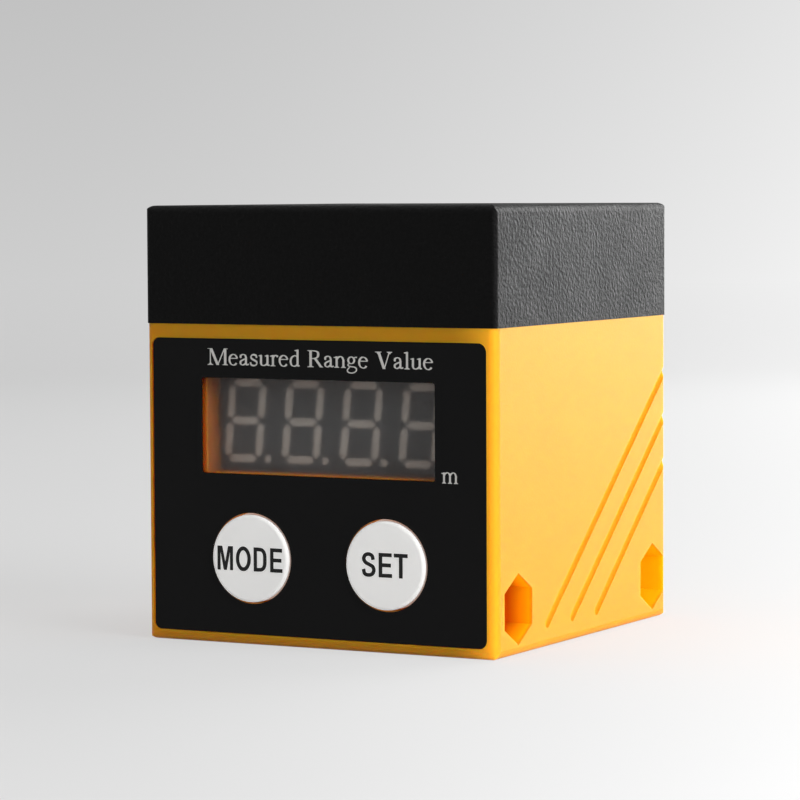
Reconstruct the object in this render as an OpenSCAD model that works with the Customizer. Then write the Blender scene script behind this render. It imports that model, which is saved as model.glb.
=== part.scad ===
// Laser distance sensor: a yellow moulded tub with a display, two push buttons and
// through-bolt nut pockets, closed by a black optical head that looks upwards (+Z).
// Origin at the centre of the base. The display face looks along -Y, the cable leaves along +Y.

/* [Body] */
// Width of the body, along X
body_w = 45; // [44:0.5:52]
// Depth of the body, along Y
body_d = 46; // [45:0.5:54]
// Overall height of the housing and the head together
body_h = 50; // [49:0.5:56]
// Height of the black optical head
head_h = 13.5; // [13:0.25:14]
// Thickness of the side and back walls
wall = 2.2; // [1.8:0.1:2.6]
// Thickness of the front wall that holds the display and the buttons
front_wall = 2; // [1.8:0.1:2]
// Thickness of the floor
floor_t = 2; // [1.6:0.1:2.6]
// Radius of the housing's upright and lower edges
edge_r = 1; // [0.5:0.1:1.1]
// Radius of the head's upright edges
head_edge_r = 0.6; // [0.4:0.1:1]
// Radius of the head's upper edges
head_top_r = 0.9; // [0.4:0.1:1]

/* [Seam] */
// Thickness of the housing's outer rim beside the head's lip
rim_t = 1; // [0.8:0.1:1.1]
// Height of the head's lip inside the rim
lip_h = 2; // [1.5:0.1:3]
// Thickness of the seam gasket
gasket_t = 1; // [0.6:0.1:1.4]
// Clearance around the head's lip
lip_clear = 0.15; // [0.1:0.05:0.2]
// Distance of the corner screws from the side, front and back faces
screw_inset = 4.6; // [4.4:0.1:5]
// Radius of the corner screw pillars
pillar_r = 2.7; // [2.5:0.1:2.9]
// Diameter of the corner screws
cap_screw_d = 2.5; // [2:0.1:2.6]
// Depth of the thread below the seam
cap_screw_bite = 9; // [6:0.5:10]

/* [Front film] */
// Distance of the film from the side faces
label_side = 1; // [1:0.25:2.5]
// Distance of the film's upper edge below the seam
label_top = 1.65; // [1.3:0.05:2]
// Sideways offset of the film from the middle
label_x = -0.25; // [-0.25:0.05:0.25]
// Height of the film's lower edge above the base
label_low = 1.25; // [1.2:0.05:1.5]
// Thickness of the film
label_t = 0.3; // [0.2:0.05:0.35]
// Corner radius of the film
label_r = 1; // [0.5:0.1:2]
// Depth of the film's recess in the front face
label_recess = 0.4; // [0.35:0.05:0.5]
// Gap around the film in its recess
label_gap = 0.05; // [0.05:0.05:0.1]

/* [Display] */
// Distance of the display window from the side faces
window_side = 7.6; // [7.5:0.1:8.5]
// Height of the display window
window_h = 10.8; // [10:0.1:11.5]
// Distance of the window's middle below the midpoint from the buttons to the seam
window_drop = 0.8; // [0.3:0.1:1.3]
// Corner radius of the window
window_r = 0.3; // [0.2:0.1:0.6]
// Thickness of the clear pane
pane_t = 0.5; // [0.4:0.1:0.6]
// Overlap of the pane behind the film
pane_lip = 0.8; // [0.5:0.1:1]
// Wall of the shroud between the front wall and the display
shroud_wall = 1.2; // [0.8:0.1:1.6]
// Depth of the display's face behind the front face
display_back = 3.9; // [3.6:0.1:4.4]
// Overlap of the display module past each side of the window
module_side = 0.2; // [0.1:0.05:0.4]
// Height of the display module
module_h = 14; // [13.5:0.1:14.4]
// Thickness of the display module
module_t = 7; // [6.6:0.1:7.4]
// Height of one digit
digit_h = 9.2; // [8.4:0.1:9.6]
// Gap from one digit to the next
digit_space = 2.6; // [2.5:0.1:3.1]
// Width of a segment's stroke
segment_w = 1.15; // [0.8:0.05:1.2]
// Gap between neighbouring segments
segment_gap = 0.2; // [0.1:0.05:0.3]
// Depth of the segments in the module
segment_t = 0.5; // [0.3:0.1:0.8]
// Lean of the digits from upright, in degrees
digit_lean = 8; // [5:0.5:10]

/* [Buttons] */
// Diameter of the button caps
button_d = 10; // [9:0.1:10.4]
// Distance of each button from the middle of the front
button_x = 8.7; // [8.2:0.1:9]
// Height of the buttons above the base
button_z = 9.9; // [9.9:0.1:10.4]
// Height by which a cap stands out of the front face
button_proud = 0.3; // [0.2:0.05:0.6]
// Radius of a cap's rounded rim
button_rim = 0.4; // [0.2:0.05:0.5]
// Travel of a button
button_travel = 0.5; // [0.3:0.05:0.5]
// Gap around a cap in its hole
button_gap = 0.2; // [0.15:0.05:0.3]
// Overlap of a cap's flange behind the front wall
flange_lap = 0.5; // [0.4:0.05:0.7]
// Thickness of a cap's flange
flange_t = 0.6; // [0.5:0.1:0.8]
// Diameter of the stem behind a cap
stem_d = 2.4; // [2:0.1:2.4]
// Side of the square tact switch bodies
switch_w = 4.5; // [4:0.1:4.6]
// Height of the tact switch bodies above the display board
switch_h = 2.5; // [2.2:0.1:2.6]
// Height of the tact switch tips above the display board
switch_tip = 4.3; // [4:0.1:5]

/* [Side bolts] */
// Distance between the two through bolts, along Y
bolt_pitch = 36.5; // [35.5:0.1:36.8]
// Distance of the front bolt from the front face
bolt_front = 5.4; // [5.3:0.1:5.6]
// Height of the through bolts above the base
bolt_z = 5.2; // [5.1:0.1:5.3]
// Diameter of the through-bolt holes
bolt_hole_d = 4.3; // [4.1:0.1:4.4]
// Wall around the through-bolt holes
bolt_wall = 1; // [0.8:0.05:1.05]
// Width across the flats of the nut pockets
pocket_flats = 7; // [6.6:0.1:7.2]
// Depth of the nut pockets
pocket_depth = 4.6; // [4.2:0.1:5.4]
// Wall around the nut pockets inside the housing
pocket_wall = 1.6; // [1.2:0.1:2]

/* [Side grooves] */
// Number of slanting grooves on each side
groove_count = 3; // [1:1:3]
// Distance of the first groove's lower end from the front face
groove_front = 12.8; // [12:0.1:14]
// Height of the grooves' lower ends above the base
groove_low = 2.8; // [2:0.1:4]
// Distance from one groove to the next, along Y
groove_pitch = 6.6; // [4:0.1:8]
// Slope of the grooves above the horizontal, in degrees
groove_slope = 39.5; // [35:0.5:42]
// Width of a groove
groove_w = 1.1; // [0.8:0.1:1.4]

/* [Circuit boards] */
// Thickness of the circuit boards
board_t = 1.2; // [1:0.1:1.6]
// Diameter of the board screws
board_screw_d = 2; // [1.6:0.1:2]
// Length of the board screws
board_screw_l = 6; // [5:0.5:7]
// Radius of the posts that carry the boards
post_r = 1.9; // [1.8:0.1:2]
// Distance from the posts to the side walls
post_gap = 0.5; // [0.3:0.1:0.8]
// Height of the upper display board screws above the base
post_high = 22; // [21:0.1:22.5]
// Height of the lower display board screws above the base
post_low = 14; // [13.8:0.1:15]
// Gap between the display board and the walls
board_gap = 0.8; // [0.5:0.1:1.2]
// Height of the display board's lower edge above the floor
board_rise = 4; // [2:0.1:5]
// Width of the main board
main_w = 34; // [33:0.5:36]
// Gap between the main board and the cable gland
main_back_gap = 1.6; // [1.4:0.1:2.4]
// Gap between the two boards
main_gap = 2.1; // [1.8:0.1:2.6]
// Depth of the main board's upper face below the head's roof
main_drop = 20; // [19.5:0.1:20.5]

/* [Optics] */
// Thickness of the head's roof
roof_t = 2.4; // [2.2:0.1:2.8]
// Sideways place of the receiving lens
receiver_x = 5.5; // [5:0.1:6]
// Sideways place of the laser
emitter_x = -10.5; // [-11:0.1:-10]
// Diameter of the receiving lens
lens_d = 16; // [15:0.1:16.4]
// Thickness of the receiving lens at its middle
lens_t = 4.2; // [3.8:0.1:4.4]
// Radius of the receiving lens's curved face
lens_curve = 12; // [11.5:0.5:16]
// Diameter of the laser barrel
barrel_d = 6.5; // [6:0.1:6.8]
// Length of the laser barrel
barrel_l = 13; // [12:0.1:13.5]
// Wall of the laser barrel
barrel_wall = 0.75; // [0.6:0.05:0.9]
// Thickness of the two cover glasses
glass_t = 1.2; // [0.8:0.1:1.4]
// Depth of the cover glasses below the top face
glass_sink = 0.2; // [0.1:0.05:0.4]
// Width of the ledge under each cover glass
glass_ledge = 1; // [0.6:0.1:1.2]
// Thickness of the optics holder's plate
plate_t = 2; // [1.6:0.1:2.4]
// Depth of the plate's lower face below the head's roof
plate_drop = 9.6; // [9:0.1:10.2]
// Wall around the receiving lens
holder_wall = 1.2; // [0.9:0.1:1.4]
// Gap between the optics holder and the roof
holder_gap = 1; // [0.8:0.1:1.4]
// Distance of the holder's screws from the middle, along X
holder_x = 14.5; // [14.2:0.1:14.8]
// Distance from the corner screws to the holder's screws, along Y
holder_back = 6.9; // [6.7:0.1:7.2]
// Distance of the main board's screws from the middle, along Y
hanger_y = 4.6; // [4.4:0.1:4.8]

/* [Cable gland] */
// Height of the cable gland above the base
gland_z = 17.5; // [17:0.1:18]
// Diameter of the gland's thread
gland_thread_d = 10; // [9.6:0.1:10.4]
// Width across the flats of the gland's hexagons
gland_flats = 13; // [12.8:0.1:14]
// Thickness of the gland's fixed hexagon
gland_hex_t = 3.5; // [3:0.1:4.5]
// Thickness of the sealing washer
washer_t = 1; // [0.6:0.1:1.4]
// Length of the clamping nut
gland_nut_l = 8.5; // [8:0.1:10]
// Thickness of the clamping nut's lip around the cable
nut_lip_t = 1.6; // [1.2:0.1:2]
// Thickness of the lock nut
locknut_t = 3; // [2.5:0.1:3.2]
// Diameter of the cable passage through the seal
cable_hole_d = 5.2; // [4.8:0.1:5.4]
// Wall of the seal around the cable
seal_wall = 0.9; // [0.7:0.05:1]

/* [Fits] */
// Radial gap around screws and pins in their threads
screw_gap = 0.05; // [0.05:0.05:0.1]
// Radial gap around screws that pass through a piece
pass_gap = 0.15; // [0.1:0.05:0.2]
// Radial gap around sliding and seated round pieces
seat_gap = 0.1; // [0.05:0.05:0.1]

/* [Hidden] */

// Smoothness of round faces and of thin pins
round_fn = 64;
pin_fn = 16;
// Overshoot of a cut past the face that it leaves, and a shorter one beside a neighbour
cut = 1;
nick = 0.1;
// Depth by which a joined shape reaches into its neighbour
weld = 0.5;
// Free end of a blind hole beyond its screw
hole_spare = 1;
// Length of a soldered pin beyond its board
pin_out = 0.8;

// Main planes and heights
front_y = -body_d / 2;
back_y = body_d / 2;
seam_z = body_h - head_h;
roof_z = body_h - roof_t;
inner_x = body_w / 2 - wall;
inner_front_y = front_y + front_wall;
inner_back_y = back_y - wall;
inner_r = 0.8;

// Front film
label_w = body_w - 2 * label_side;
label_h = seam_z - label_low - label_top;

// Seam between the housing and the head
rabbet_w = body_w - 2 * rim_t;
rabbet_d = body_d - 2 * rim_t;
rabbet_r = 0.8;
throat_w = body_w - 2 * wall;
throat_d = body_d - 2 * wall;
throat_r = 0.4;
gasket_gap = 0.05;

// Corner screws
screw_x = body_w / 2 - screw_inset;
screw_y = body_d / 2 - screw_inset;
cap_head_d = 1.8 * cap_screw_d;
cap_head_h = 0.8 * cap_screw_d;
cap_head_sink = 0.2;
cap_head_gap = 0.2;
cap_seat_z = body_h - cap_head_h - cap_head_sink;
cap_socket_r = 0.46 * cap_screw_d;
cap_socket_h = 0.55 * cap_head_h;

// Side bolts
bolt_y = [front_y + bolt_front, front_y + bolt_front + bolt_pitch];
pocket_floor_x = body_w / 2 - pocket_depth;
pocket_r = pocket_flats / sqrt(3);
tube_r = bolt_hole_d / 2 + bolt_wall;
boss_r = pocket_r + pocket_wall;
boss_x = pocket_floor_x - pocket_wall;

// Cable gland, counted outwards from the back face
hex_y = back_y + washer_t;
gland_nut_y = hex_y + gland_hex_t;
gland_end_y = gland_nut_y + gland_nut_l;
shank_spare = 1;
shank_end_y = inner_back_y - locknut_t - shank_spare;
nut_room = 1.2;
thread_end_y = gland_end_y - nut_lip_t - nut_room;
seal_end_y = gland_end_y - nut_lip_t;
seal_y = gland_nut_y + nut_room;
seal_r = cable_hole_d / 2 + seal_wall;
gland_bore_r = cable_hole_d / 2 + 0.4;
gland_corner_r = gland_flats / sqrt(3);
gland_chamfer = 0.5;
mouth_r = gland_bore_r + 0.9;

// Display and its board, counted back from the front face
window_w = body_w - 2 * window_side;
window_z = (button_z + button_d / 2 + button_gap + seam_z) / 2 - window_drop;
module_w = window_w + 2 * module_side;
display_y = front_y + display_back;
display_board_y = display_y + module_t;
display_board_back_y = display_board_y + board_t;
display_board_w = 2 * (inner_x - board_gap);
display_board_low = floor_t + board_rise;
display_board_high = seam_z - lip_h;
notch_x = boss_x - board_gap;
notch_high = bolt_z + boss_r + board_gap;
post_x = inner_x - post_r - post_gap;
post_z = [post_low, post_high];
board_r = 1;

// Digits and the display's pins
digit_count = 4;
digit_edge = 0.1;
digit_pitch = (module_w - 2 * digit_edge) / digit_count;
digit_w = digit_pitch - digit_space;
point_x = digit_w / 2 + 0.75;
pin_count = 6;
pin_pitch = 2.54;
pin_row = 5.08;
pin_r = 0.25;
pin_hole_r = 0.4;

// Buttons and their switches
button_back_y = inner_front_y - button_travel;
switch_y = display_board_y - switch_h;
tip_y = display_board_y - switch_tip;
plunger_in = 1;
plunger_spare = 0.3;

// Small screws
small_head_d = 1.9 * board_screw_d;
small_head_h = 0.7 * board_screw_d;

// Main board and what stands on it, counted down from the roof
main_top = roof_z - main_drop;
main_z = main_top - board_t;
main_y = display_board_back_y + main_gap;
main_d = shank_end_y - main_back_gap - main_y;
main_mid_y = main_y + main_d / 2;
// Chips under the main board: x, distance behind its middle, width, depth, height
chips = [
    [-2, -1, 7, 7, 1.4], [10, -2, 4, 5, 1.6], [9.5, 6, 3.5, 6, 1.7],
    [-10, 6.5, 3.6, 4.5, 2], [-4, -6.5, 3.2, 1.6, 1], [4, -6.5, 3.2, 1.6, 1]
];

// Pin header between the boards, on the laser's side of the photodiode.
// Its pins stand midway between the display's pins.
header_count = pin_count - 1;
header_x = -2 * pin_pitch;
header_rise = 1.25;
header_back = 1.9;
header_front = 0.6;
header_side = 0.5;
header_hole = 0.9;

// Cable socket at the rear edge of the main board
socket_count = 5;
socket_pitch = 2;
socket_w = 13;
socket_d = 5.8;
socket_h = 6;
socket_wall = 0.8;
socket_pin_h = 4.5;
socket_inset = 1;
socket_y = main_y + main_d - socket_d / 2 - socket_inset;

// Receiving optics
holder_top = roof_z - holder_gap;
plate_z = roof_z - plate_drop;
holder_y = screw_y - holder_back;
plate_margin = 2.5;
plate_r = 2;
lens_z = holder_top - lens_t;
lens_seat_r = lens_d / 2 + seat_gap;
lens_ledge = 1;
ring_t = 1.2;
ring_in_r = lens_d / 2 - 0.5;
ring_z = lens_z + lens_t - lens_curve + sqrt(lens_curve * lens_curve - ring_in_r * ring_in_r) + 0.02;
can_r = 2.35;
can_h = 2.7;
can_rim = 0.35;
can_rim_t = 0.5;
tunnel_gap = 0.4;
tunnel_wall = 1.4;
tunnel_low = main_top + 0.8;
receiver_glass_r = lens_d / 2 + 0.5;

// Laser
barrel_z = main_top + 4;
barrel_proud = 0.5;
barrel_ledge = 0.5;
barrel_bore_r = barrel_d / 2 - barrel_wall;
sleeve_r = barrel_d / 2 + seat_gap + 1.3;
collimator_t = 2;
collimator_curve = 5;
collimator_sink = 0.4;
collimator_z = barrel_z + barrel_l - collimator_t - collimator_sink;
diode_r = 2.8;
diode_rim_t = 1.2;
diode_can_r = 1.8;
diode_can_h = 3.5;
emitter_glass_r = barrel_d / 2 + 0.25;

// Wires of the two cans, set in threes about their axes
wire_r = 0.225;
diode_wire_x = 1;
can_wire_x = 1.3;

// Ribs under the holder's plate
rib_t = 1;
rib_h = 3;
rib_y = 3;

// Flat shapes

// Rectangle with rounded corners, centred
module rounded_rect(w, d, r) {
    square([w - 2 * r, d], center = true);
    square([w, d - 2 * r], center = true);
    for (sx = [-1, 1], sy = [-1, 1]) {
        translate([sx * (w / 2 - r), sy * (d / 2 - r)]) circle(r = r, $fn = round_fn);
    }
}

// Rectangle standing on y = 0 with rounded lower corners
module rounded_foot(w, h, r) {
    translate([-w / 2, r]) square([w, h - r]);
    translate([-w / 2 + r, 0]) square([w - 2 * r, h]);
    for (s = [-1, 1]) {
        translate([s * (w / 2 - r), r]) circle(r = r, $fn = round_fn);
    }
}

// Outline of the window with its own margin
module window_shape(margin) {
    translate([0, window_z]) {
        rounded_rect(window_w + 2 * margin, window_h + 2 * margin, window_r + margin / 2);
    }
}

// Outline of the film with its own margin
module label_shape(margin) {
    translate([label_x, label_low + label_h / 2]) {
        rounded_rect(label_w + 2 * margin, label_h + 2 * margin, label_r + margin);
    }
}

// Solids placed along the main directions

// Block on z = 0 with rounded upright edges and rounded lower edges
module rounded_block(w, d, h, side_r, low_r) {
    intersection() {
        linear_extrude(h) rounded_rect(w, d, side_r);
        rotate([90, 0, 0]) linear_extrude(d, center = true) rounded_foot(w, h, low_r);
        rotate([90, 0, 90]) linear_extrude(w, center = true) rounded_foot(d, h, low_r);
    }
}

// Rectangular ring on z = 0
module rect_ring(w, d, w_in, d_in, r, r_in, h) {
    difference() {
        linear_extrude(h) rounded_rect(w, d, r);
        translate([0, 0, -cut]) linear_extrude(h + 2 * cut) rounded_rect(w_in, d_in, r_in);
    }
}

// Cylinder along +Y from y0 to y1
module rod_y(x, z, r, y0, y1, fn = round_fn) {
    translate([x, y0, z]) rotate([-90, 0, 0]) cylinder(r = r, h = y1 - y0, $fn = fn);
}

// Cylinder along +X from x0 to x1
module rod_x(y, z, r, x0, x1, fn = round_fn) {
    translate([x0, y, z]) rotate([0, 90, 0]) cylinder(r = r, h = x1 - x0, $fn = fn);
}

// Cylinder along +Z from z0 to z1
module rod_z(x, y, r, z0, z1, fn = round_fn) {
    translate([x, y, z0]) cylinder(r = r, h = z1 - z0, $fn = fn);
}

// Plate in the front plane from y0 to y1, drawn in X and Z
module front_plate(y0, y1) {
    translate([0, y1, 0]) rotate([90, 0, 0]) linear_extrude(y1 - y0) children();
}

// Solid of revolution about an axis along Y, drawn as [radius, y] points
module turned_y(x, z, points) {
    translate([x, 0, z]) rotate([-90, 0, 0]) rotate_extrude($fn = round_fn) polygon(points);
}

// The children at the four corners of a rectangle
module four_corners(x, y) {
    for (sx = [-1, 1], sy = [-1, 1]) {
        translate([sx * x, sy * y, 0]) children();
    }
}

// The children at the places of the two buttons
module both_buttons() {
    for (s = [-1, 1]) {
        translate([s * button_x, 0, 0]) children();
    }
}

// The children and their mirror image on the other side of the body
module both_sides() {
    children();
    mirror([1, 0, 0]) children();
}

// Cross-slotted screw with its head on z = 0 and its shank below
module small_screw() {
    slot_w = 0.3 * board_screw_d;
    slot_l = 0.7 * small_head_d;
    difference() {
        cylinder(d = small_head_d, h = small_head_h, $fn = round_fn);
        for (size = [[slot_w, slot_l], [slot_l, slot_w]]) {
            translate([0, 0, small_head_h]) cube([size[0], size[1], small_head_h], center = true);
        }
    }
    translate([0, 0, -board_screw_l]) cylinder(d = board_screw_d, h = board_screw_l, $fn = round_fn);
}

// Housing

// Tub with its floor and walls
module tub() {
    difference() {
        rounded_block(body_w, body_d, seam_z, edge_r, edge_r);
        translate([0, (inner_front_y + inner_back_y) / 2, floor_t]) {
            linear_extrude(seam_z) rounded_rect(2 * inner_x, inner_back_y - inner_front_y, inner_r);
        }
    }
}

// Bolt tubes, pocket bosses, screw pillars, board posts and the display's shroud
module tub_inside() {
    for (y = bolt_y) {
        rod_x(y, bolt_z, tube_r, -inner_x - weld, inner_x + weld);
        both_sides() rod_x(y, bolt_z, boss_r, boss_x, inner_x + weld);
    }
    four_corners(screw_x, screw_y) cylinder(r = pillar_r, h = seam_z, $fn = round_fn);
    both_sides() {
        for (z = post_z) {
            rod_y(post_x, z, post_r, inner_front_y - weld, display_board_y);
        }
    }
    front_plate(inner_front_y - weld, display_y) window_shape(shroud_wall);
}

// Hole of one through bolt with a hexagonal pocket at each end
module bolt_cut(y) {
    rod_x(y, bolt_z, bolt_hole_d / 2, -body_w / 2 - cut, body_w / 2 + cut);
    both_sides() rod_x(y, bolt_z, pocket_r, pocket_floor_x, body_w / 2 + cut, 6);
}

// Half-round groove that climbs from its lower end and runs out at the back
module groove_cut(start) {
    run = (body_d - start) / cos(groove_slope) + groove_w;
    translate([body_w / 2, front_y + start, groove_low]) {
        sphere(d = groove_w, $fn = round_fn);
        rotate([groove_slope - 90, 0, 0]) cylinder(d = groove_w, h = run, $fn = round_fn);
    }
}

module housing() {
    color("orange") difference() {
        intersection() {
            rounded_block(body_w, body_d, seam_z, edge_r, edge_r);
            union() {
                tub();
                tub_inside();
            }
        }
        // Rabbet for the gasket and the head's lip
        translate([0, 0, seam_z - lip_h - gasket_t]) {
            rect_ring(rabbet_w, rabbet_d, throat_w - 2 * lip_clear, throat_d - 2 * lip_clear,
                rabbet_r, throat_r, lip_h + gasket_t + cut);
        }
        // Screw holes from the seam down
        four_corners(screw_x, screw_y) {
            rod_z(0, 0, cap_screw_d / 2 + screw_gap, seam_z - cap_screw_bite - hole_spare, seam_z + cut);
        }
        // Film recess, pane rebate and window
        front_plate(front_y - cut, front_y + label_recess) label_shape(label_gap);
        front_plate(front_y, front_y + label_recess + pane_t) window_shape(pane_lip);
        front_plate(front_y, display_y + cut) window_shape(0);
        // Button holes
        both_buttons() rod_y(0, button_z, button_d / 2 + button_gap, front_y - cut, inner_front_y + nick);
        // Holes of the display board's screws
        both_sides() {
            for (z = post_z) {
                rod_y(post_x, z, board_screw_d / 2 + screw_gap, display_board_y - board_screw_l,
                    display_board_y + cut);
            }
        }
        for (y = bolt_y) {
            bolt_cut(y);
        }
        both_sides() {
            for (i = [0:groove_count - 1]) {
                groove_cut(groove_front + i * groove_pitch);
            }
        }
        // Hole of the cable gland
        rod_y(0, gland_z, gland_thread_d / 2 + seat_gap, inner_back_y - cut, back_y + cut);
    }
}

// Optical head

// Stepped hole for a cover glass, from the top face down
module glass_seat(x, r) {
    rod_z(x, 0, r + seat_gap / 2, body_h - glass_sink - glass_t, body_h + cut);
    rod_z(x, 0, r - glass_ledge, roof_z - cut, body_h);
}

// Cap with a lip that enters the rabbet, screw pillars and posts for the optics holder
module head_cap() {
    color("dimgray") difference() {
        union() {
            difference() {
                translate([0, 0, body_h]) mirror([0, 0, 1]) {
                    rounded_block(body_w, body_d, head_h, head_edge_r, head_top_r);
                }
                translate([0, 0, seam_z - cut]) {
                    linear_extrude(roof_z - seam_z + cut) rounded_rect(throat_w, throat_d, inner_r);
                }
            }
            translate([0, 0, seam_z - lip_h]) {
                rect_ring(rabbet_w - 2 * lip_clear, rabbet_d - 2 * lip_clear, throat_w, throat_d,
                    rabbet_r - lip_clear, throat_r, lip_h + weld);
            }
            four_corners(screw_x, screw_y) rod_z(0, 0, pillar_r, seam_z, roof_z + weld);
            four_corners(holder_x, holder_y) rod_z(0, 0, post_r, plate_z + plate_t, roof_z + weld);
        }
        four_corners(screw_x, screw_y) {
            rod_z(0, 0, cap_screw_d / 2 + pass_gap, seam_z - cut, body_h + cut);
            rod_z(0, 0, cap_head_d / 2 + cap_head_gap, cap_seat_z, body_h + cut);
        }
        four_corners(holder_x, holder_y) {
            rod_z(0, 0, board_screw_d / 2 + screw_gap, plate_z, plate_z + board_screw_l + weld);
        }
        glass_seat(receiver_x, receiver_glass_r);
        glass_seat(emitter_x, emitter_glass_r);
    }
}

module cap_gasket() {
    color("black") translate([0, 0, seam_z - lip_h - gasket_t]) {
        rect_ring(rabbet_w - 2 * gasket_gap, rabbet_d - 2 * gasket_gap, throat_w, throat_d,
            rabbet_r - gasket_gap, throat_r, gasket_t);
    }
}

// Socket head screws in the corner pillars
module cap_screws() {
    color("silver") four_corners(screw_x, screw_y) {
        difference() {
            rod_z(0, 0, cap_head_d / 2, cap_seat_z, cap_seat_z + cap_head_h);
            rod_z(0, 0, cap_socket_r, cap_seat_z + cap_head_h - cap_socket_h, body_h + cut, 6);
        }
        rod_z(0, 0, cap_screw_d / 2, seam_z - cap_screw_bite, cap_seat_z);
    }
}

module cover_glass(x, r) {
    color("lightblue") rod_z(x, 0, r, body_h - glass_sink - glass_t, body_h - glass_sink);
}

module receiver_window() {
    cover_glass(receiver_x, receiver_glass_r);
}

module emitter_window() {
    cover_glass(emitter_x, emitter_glass_r);
}

// Moulded holder: plate, receiving barrel with a narrowing tunnel, laser sleeve, ribs and hangers
module optics_holder() {
    wall_r = lens_seat_r + holder_wall;
    plate_w = 2 * (holder_x + plate_margin);
    plate_d = 2 * (holder_y + plate_margin);
    color("darkslategray") difference() {
        union() {
            translate([0, 0, plate_z]) linear_extrude(plate_t) rounded_rect(plate_w, plate_d, plate_r);
            translate([receiver_x, 0, 0]) rotate_extrude($fn = round_fn) {
                polygon([
                    [0, tunnel_low], [can_r + tunnel_gap + tunnel_wall, tunnel_low],
                    [wall_r, plate_z], [wall_r, holder_top], [0, holder_top]
                ]);
            }
            rod_z(emitter_x, 0, sleeve_r, barrel_z, barrel_z + barrel_l - barrel_proud);
            four_corners(holder_x, hanger_y) rod_z(0, 0, post_r, main_top, plate_z + weld);
            for (y = [-rib_y, rib_y]) {
                translate([emitter_x, y - rib_t / 2, plate_z - rib_h]) {
                    cube([receiver_x - emitter_x, rib_t, rib_h + weld]);
                }
            }
        }
        // Lens seat and tunnel
        translate([receiver_x, 0, 0]) rotate_extrude($fn = round_fn) {
            polygon([
                [0, tunnel_low - cut], [can_r + tunnel_gap, tunnel_low - cut],
                [can_r + tunnel_gap, tunnel_low], [lens_seat_r - lens_ledge, lens_z],
                [lens_seat_r, lens_z], [lens_seat_r, holder_top + cut], [0, holder_top + cut]
            ]);
        }
        rod_z(emitter_x, 0, barrel_d / 2 + seat_gap, barrel_z - cut, holder_top + cut);
        four_corners(holder_x, holder_y) {
            rod_z(0, 0, board_screw_d / 2 + pass_gap, plate_z - cut, holder_top);
        }
        four_corners(holder_x, hanger_y) {
            rod_z(0, 0, board_screw_d / 2 + screw_gap, main_z, main_z + board_screw_l + weld);
        }
    }
}

// Screws from below through the holder's plate into the head
module holder_screws() {
    color("silver") four_corners(holder_x, holder_y) {
        translate([0, 0, plate_z]) mirror([0, 0, 1]) small_screw();
    }
}

// Plano-convex lens, flat face down
module receiver_lens() {
    color("lightblue") translate([receiver_x, 0, lens_z]) intersection() {
        cylinder(d = lens_d, h = lens_t, $fn = round_fn);
        translate([0, 0, lens_t - lens_curve]) sphere(r = lens_curve, $fn = round_fn);
    }
}

// Retaining ring whose inner lower edge rests on the lens's curved face
module lens_ring() {
    color("black") difference() {
        rod_z(receiver_x, 0, lens_d / 2, ring_z, ring_z + ring_t);
        rod_z(receiver_x, 0, ring_in_r, ring_z - cut, ring_z + ring_t + cut);
    }
}

// Three wires from z0 to z1 about the axis at x, drawn at the circle of radius at
module three_wires(x, at, turn, r, z0, z1) {
    translate([x, 0, 0]) {
        for (a = [0, 120, 240]) {
            rotate([0, 0, a + turn]) rod_z(at, 0, r, z0, z1, pin_fn);
        }
    }
}

// Metal can on the main board with its wires through the board
module photodiode() {
    color("gold") {
        rod_z(receiver_x, 0, can_r + can_rim, main_top, main_top + can_rim_t);
        rod_z(receiver_x, 0, can_r, main_top, main_top + can_h);
        three_wires(receiver_x, can_wire_x, 0, wire_r, main_z - pin_out, main_top + nick);
    }
}

module laser_barrel() {
    color("goldenrod") difference() {
        rod_z(emitter_x, 0, barrel_d / 2, barrel_z, barrel_z + barrel_l);
        rod_z(emitter_x, 0, barrel_bore_r - barrel_ledge, barrel_z - cut, barrel_z + barrel_l + cut);
        rod_z(emitter_x, 0, barrel_bore_r + seat_gap / 2, collimator_z, barrel_z + barrel_l + cut);
        rod_z(emitter_x, 0, diode_r + seat_gap / 2, barrel_z - cut, barrel_z + diode_rim_t);
    }
}

module collimator_lens() {
    color("lightblue") translate([emitter_x, 0, collimator_z]) intersection() {
        cylinder(r = barrel_bore_r, h = collimator_t, $fn = round_fn);
        translate([0, 0, collimator_t - collimator_curve]) sphere(r = collimator_curve, $fn = round_fn);
    }
}

// Laser diode in the barrel's lower end, its wires down to the main board
module laser_diode() {
    color("gold") {
        rod_z(emitter_x, 0, diode_r, barrel_z, barrel_z + diode_rim_t);
        rod_z(emitter_x, 0, diode_can_r, barrel_z, barrel_z + diode_can_h);
        three_wires(emitter_x, diode_wire_x, 90, wire_r, main_z - pin_out, barrel_z + nick);
    }
}

// Front film and display

module front_label() {
    color("black") difference() {
        front_plate(front_y + label_recess - label_t, front_y + label_recess) label_shape(0);
        front_plate(front_y - cut, front_y + cut) window_shape(0);
        both_buttons() rod_y(0, button_z, button_d / 2 + button_gap, front_y - cut, front_y + cut);
    }
}

module display_window() {
    color("lightgray") front_plate(front_y + label_recess, front_y + label_recess + pane_t) {
        window_shape(pane_lip - label_gap);
    }
}

// Points of one segment: a bar of length l with pointed ends, lying or upright about [x, z]
function segment_points(x, z, l, upright) =
    let (h = segment_w / 2,
        e = l / 2,
        bar = [[-e, 0], [h - e, h], [e - h, h], [e, 0], [e - h, -h], [h - e, -h]])
    [for (p = bar) upright ? [x - p[1], z + p[0]] : [x + p[0], z + p[1]]];

// Points leaned to the right in proportion to their height
function leaned(points) = [for (p = points) [p[0] + p[1] * tan(digit_lean), p[1]]];

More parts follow.
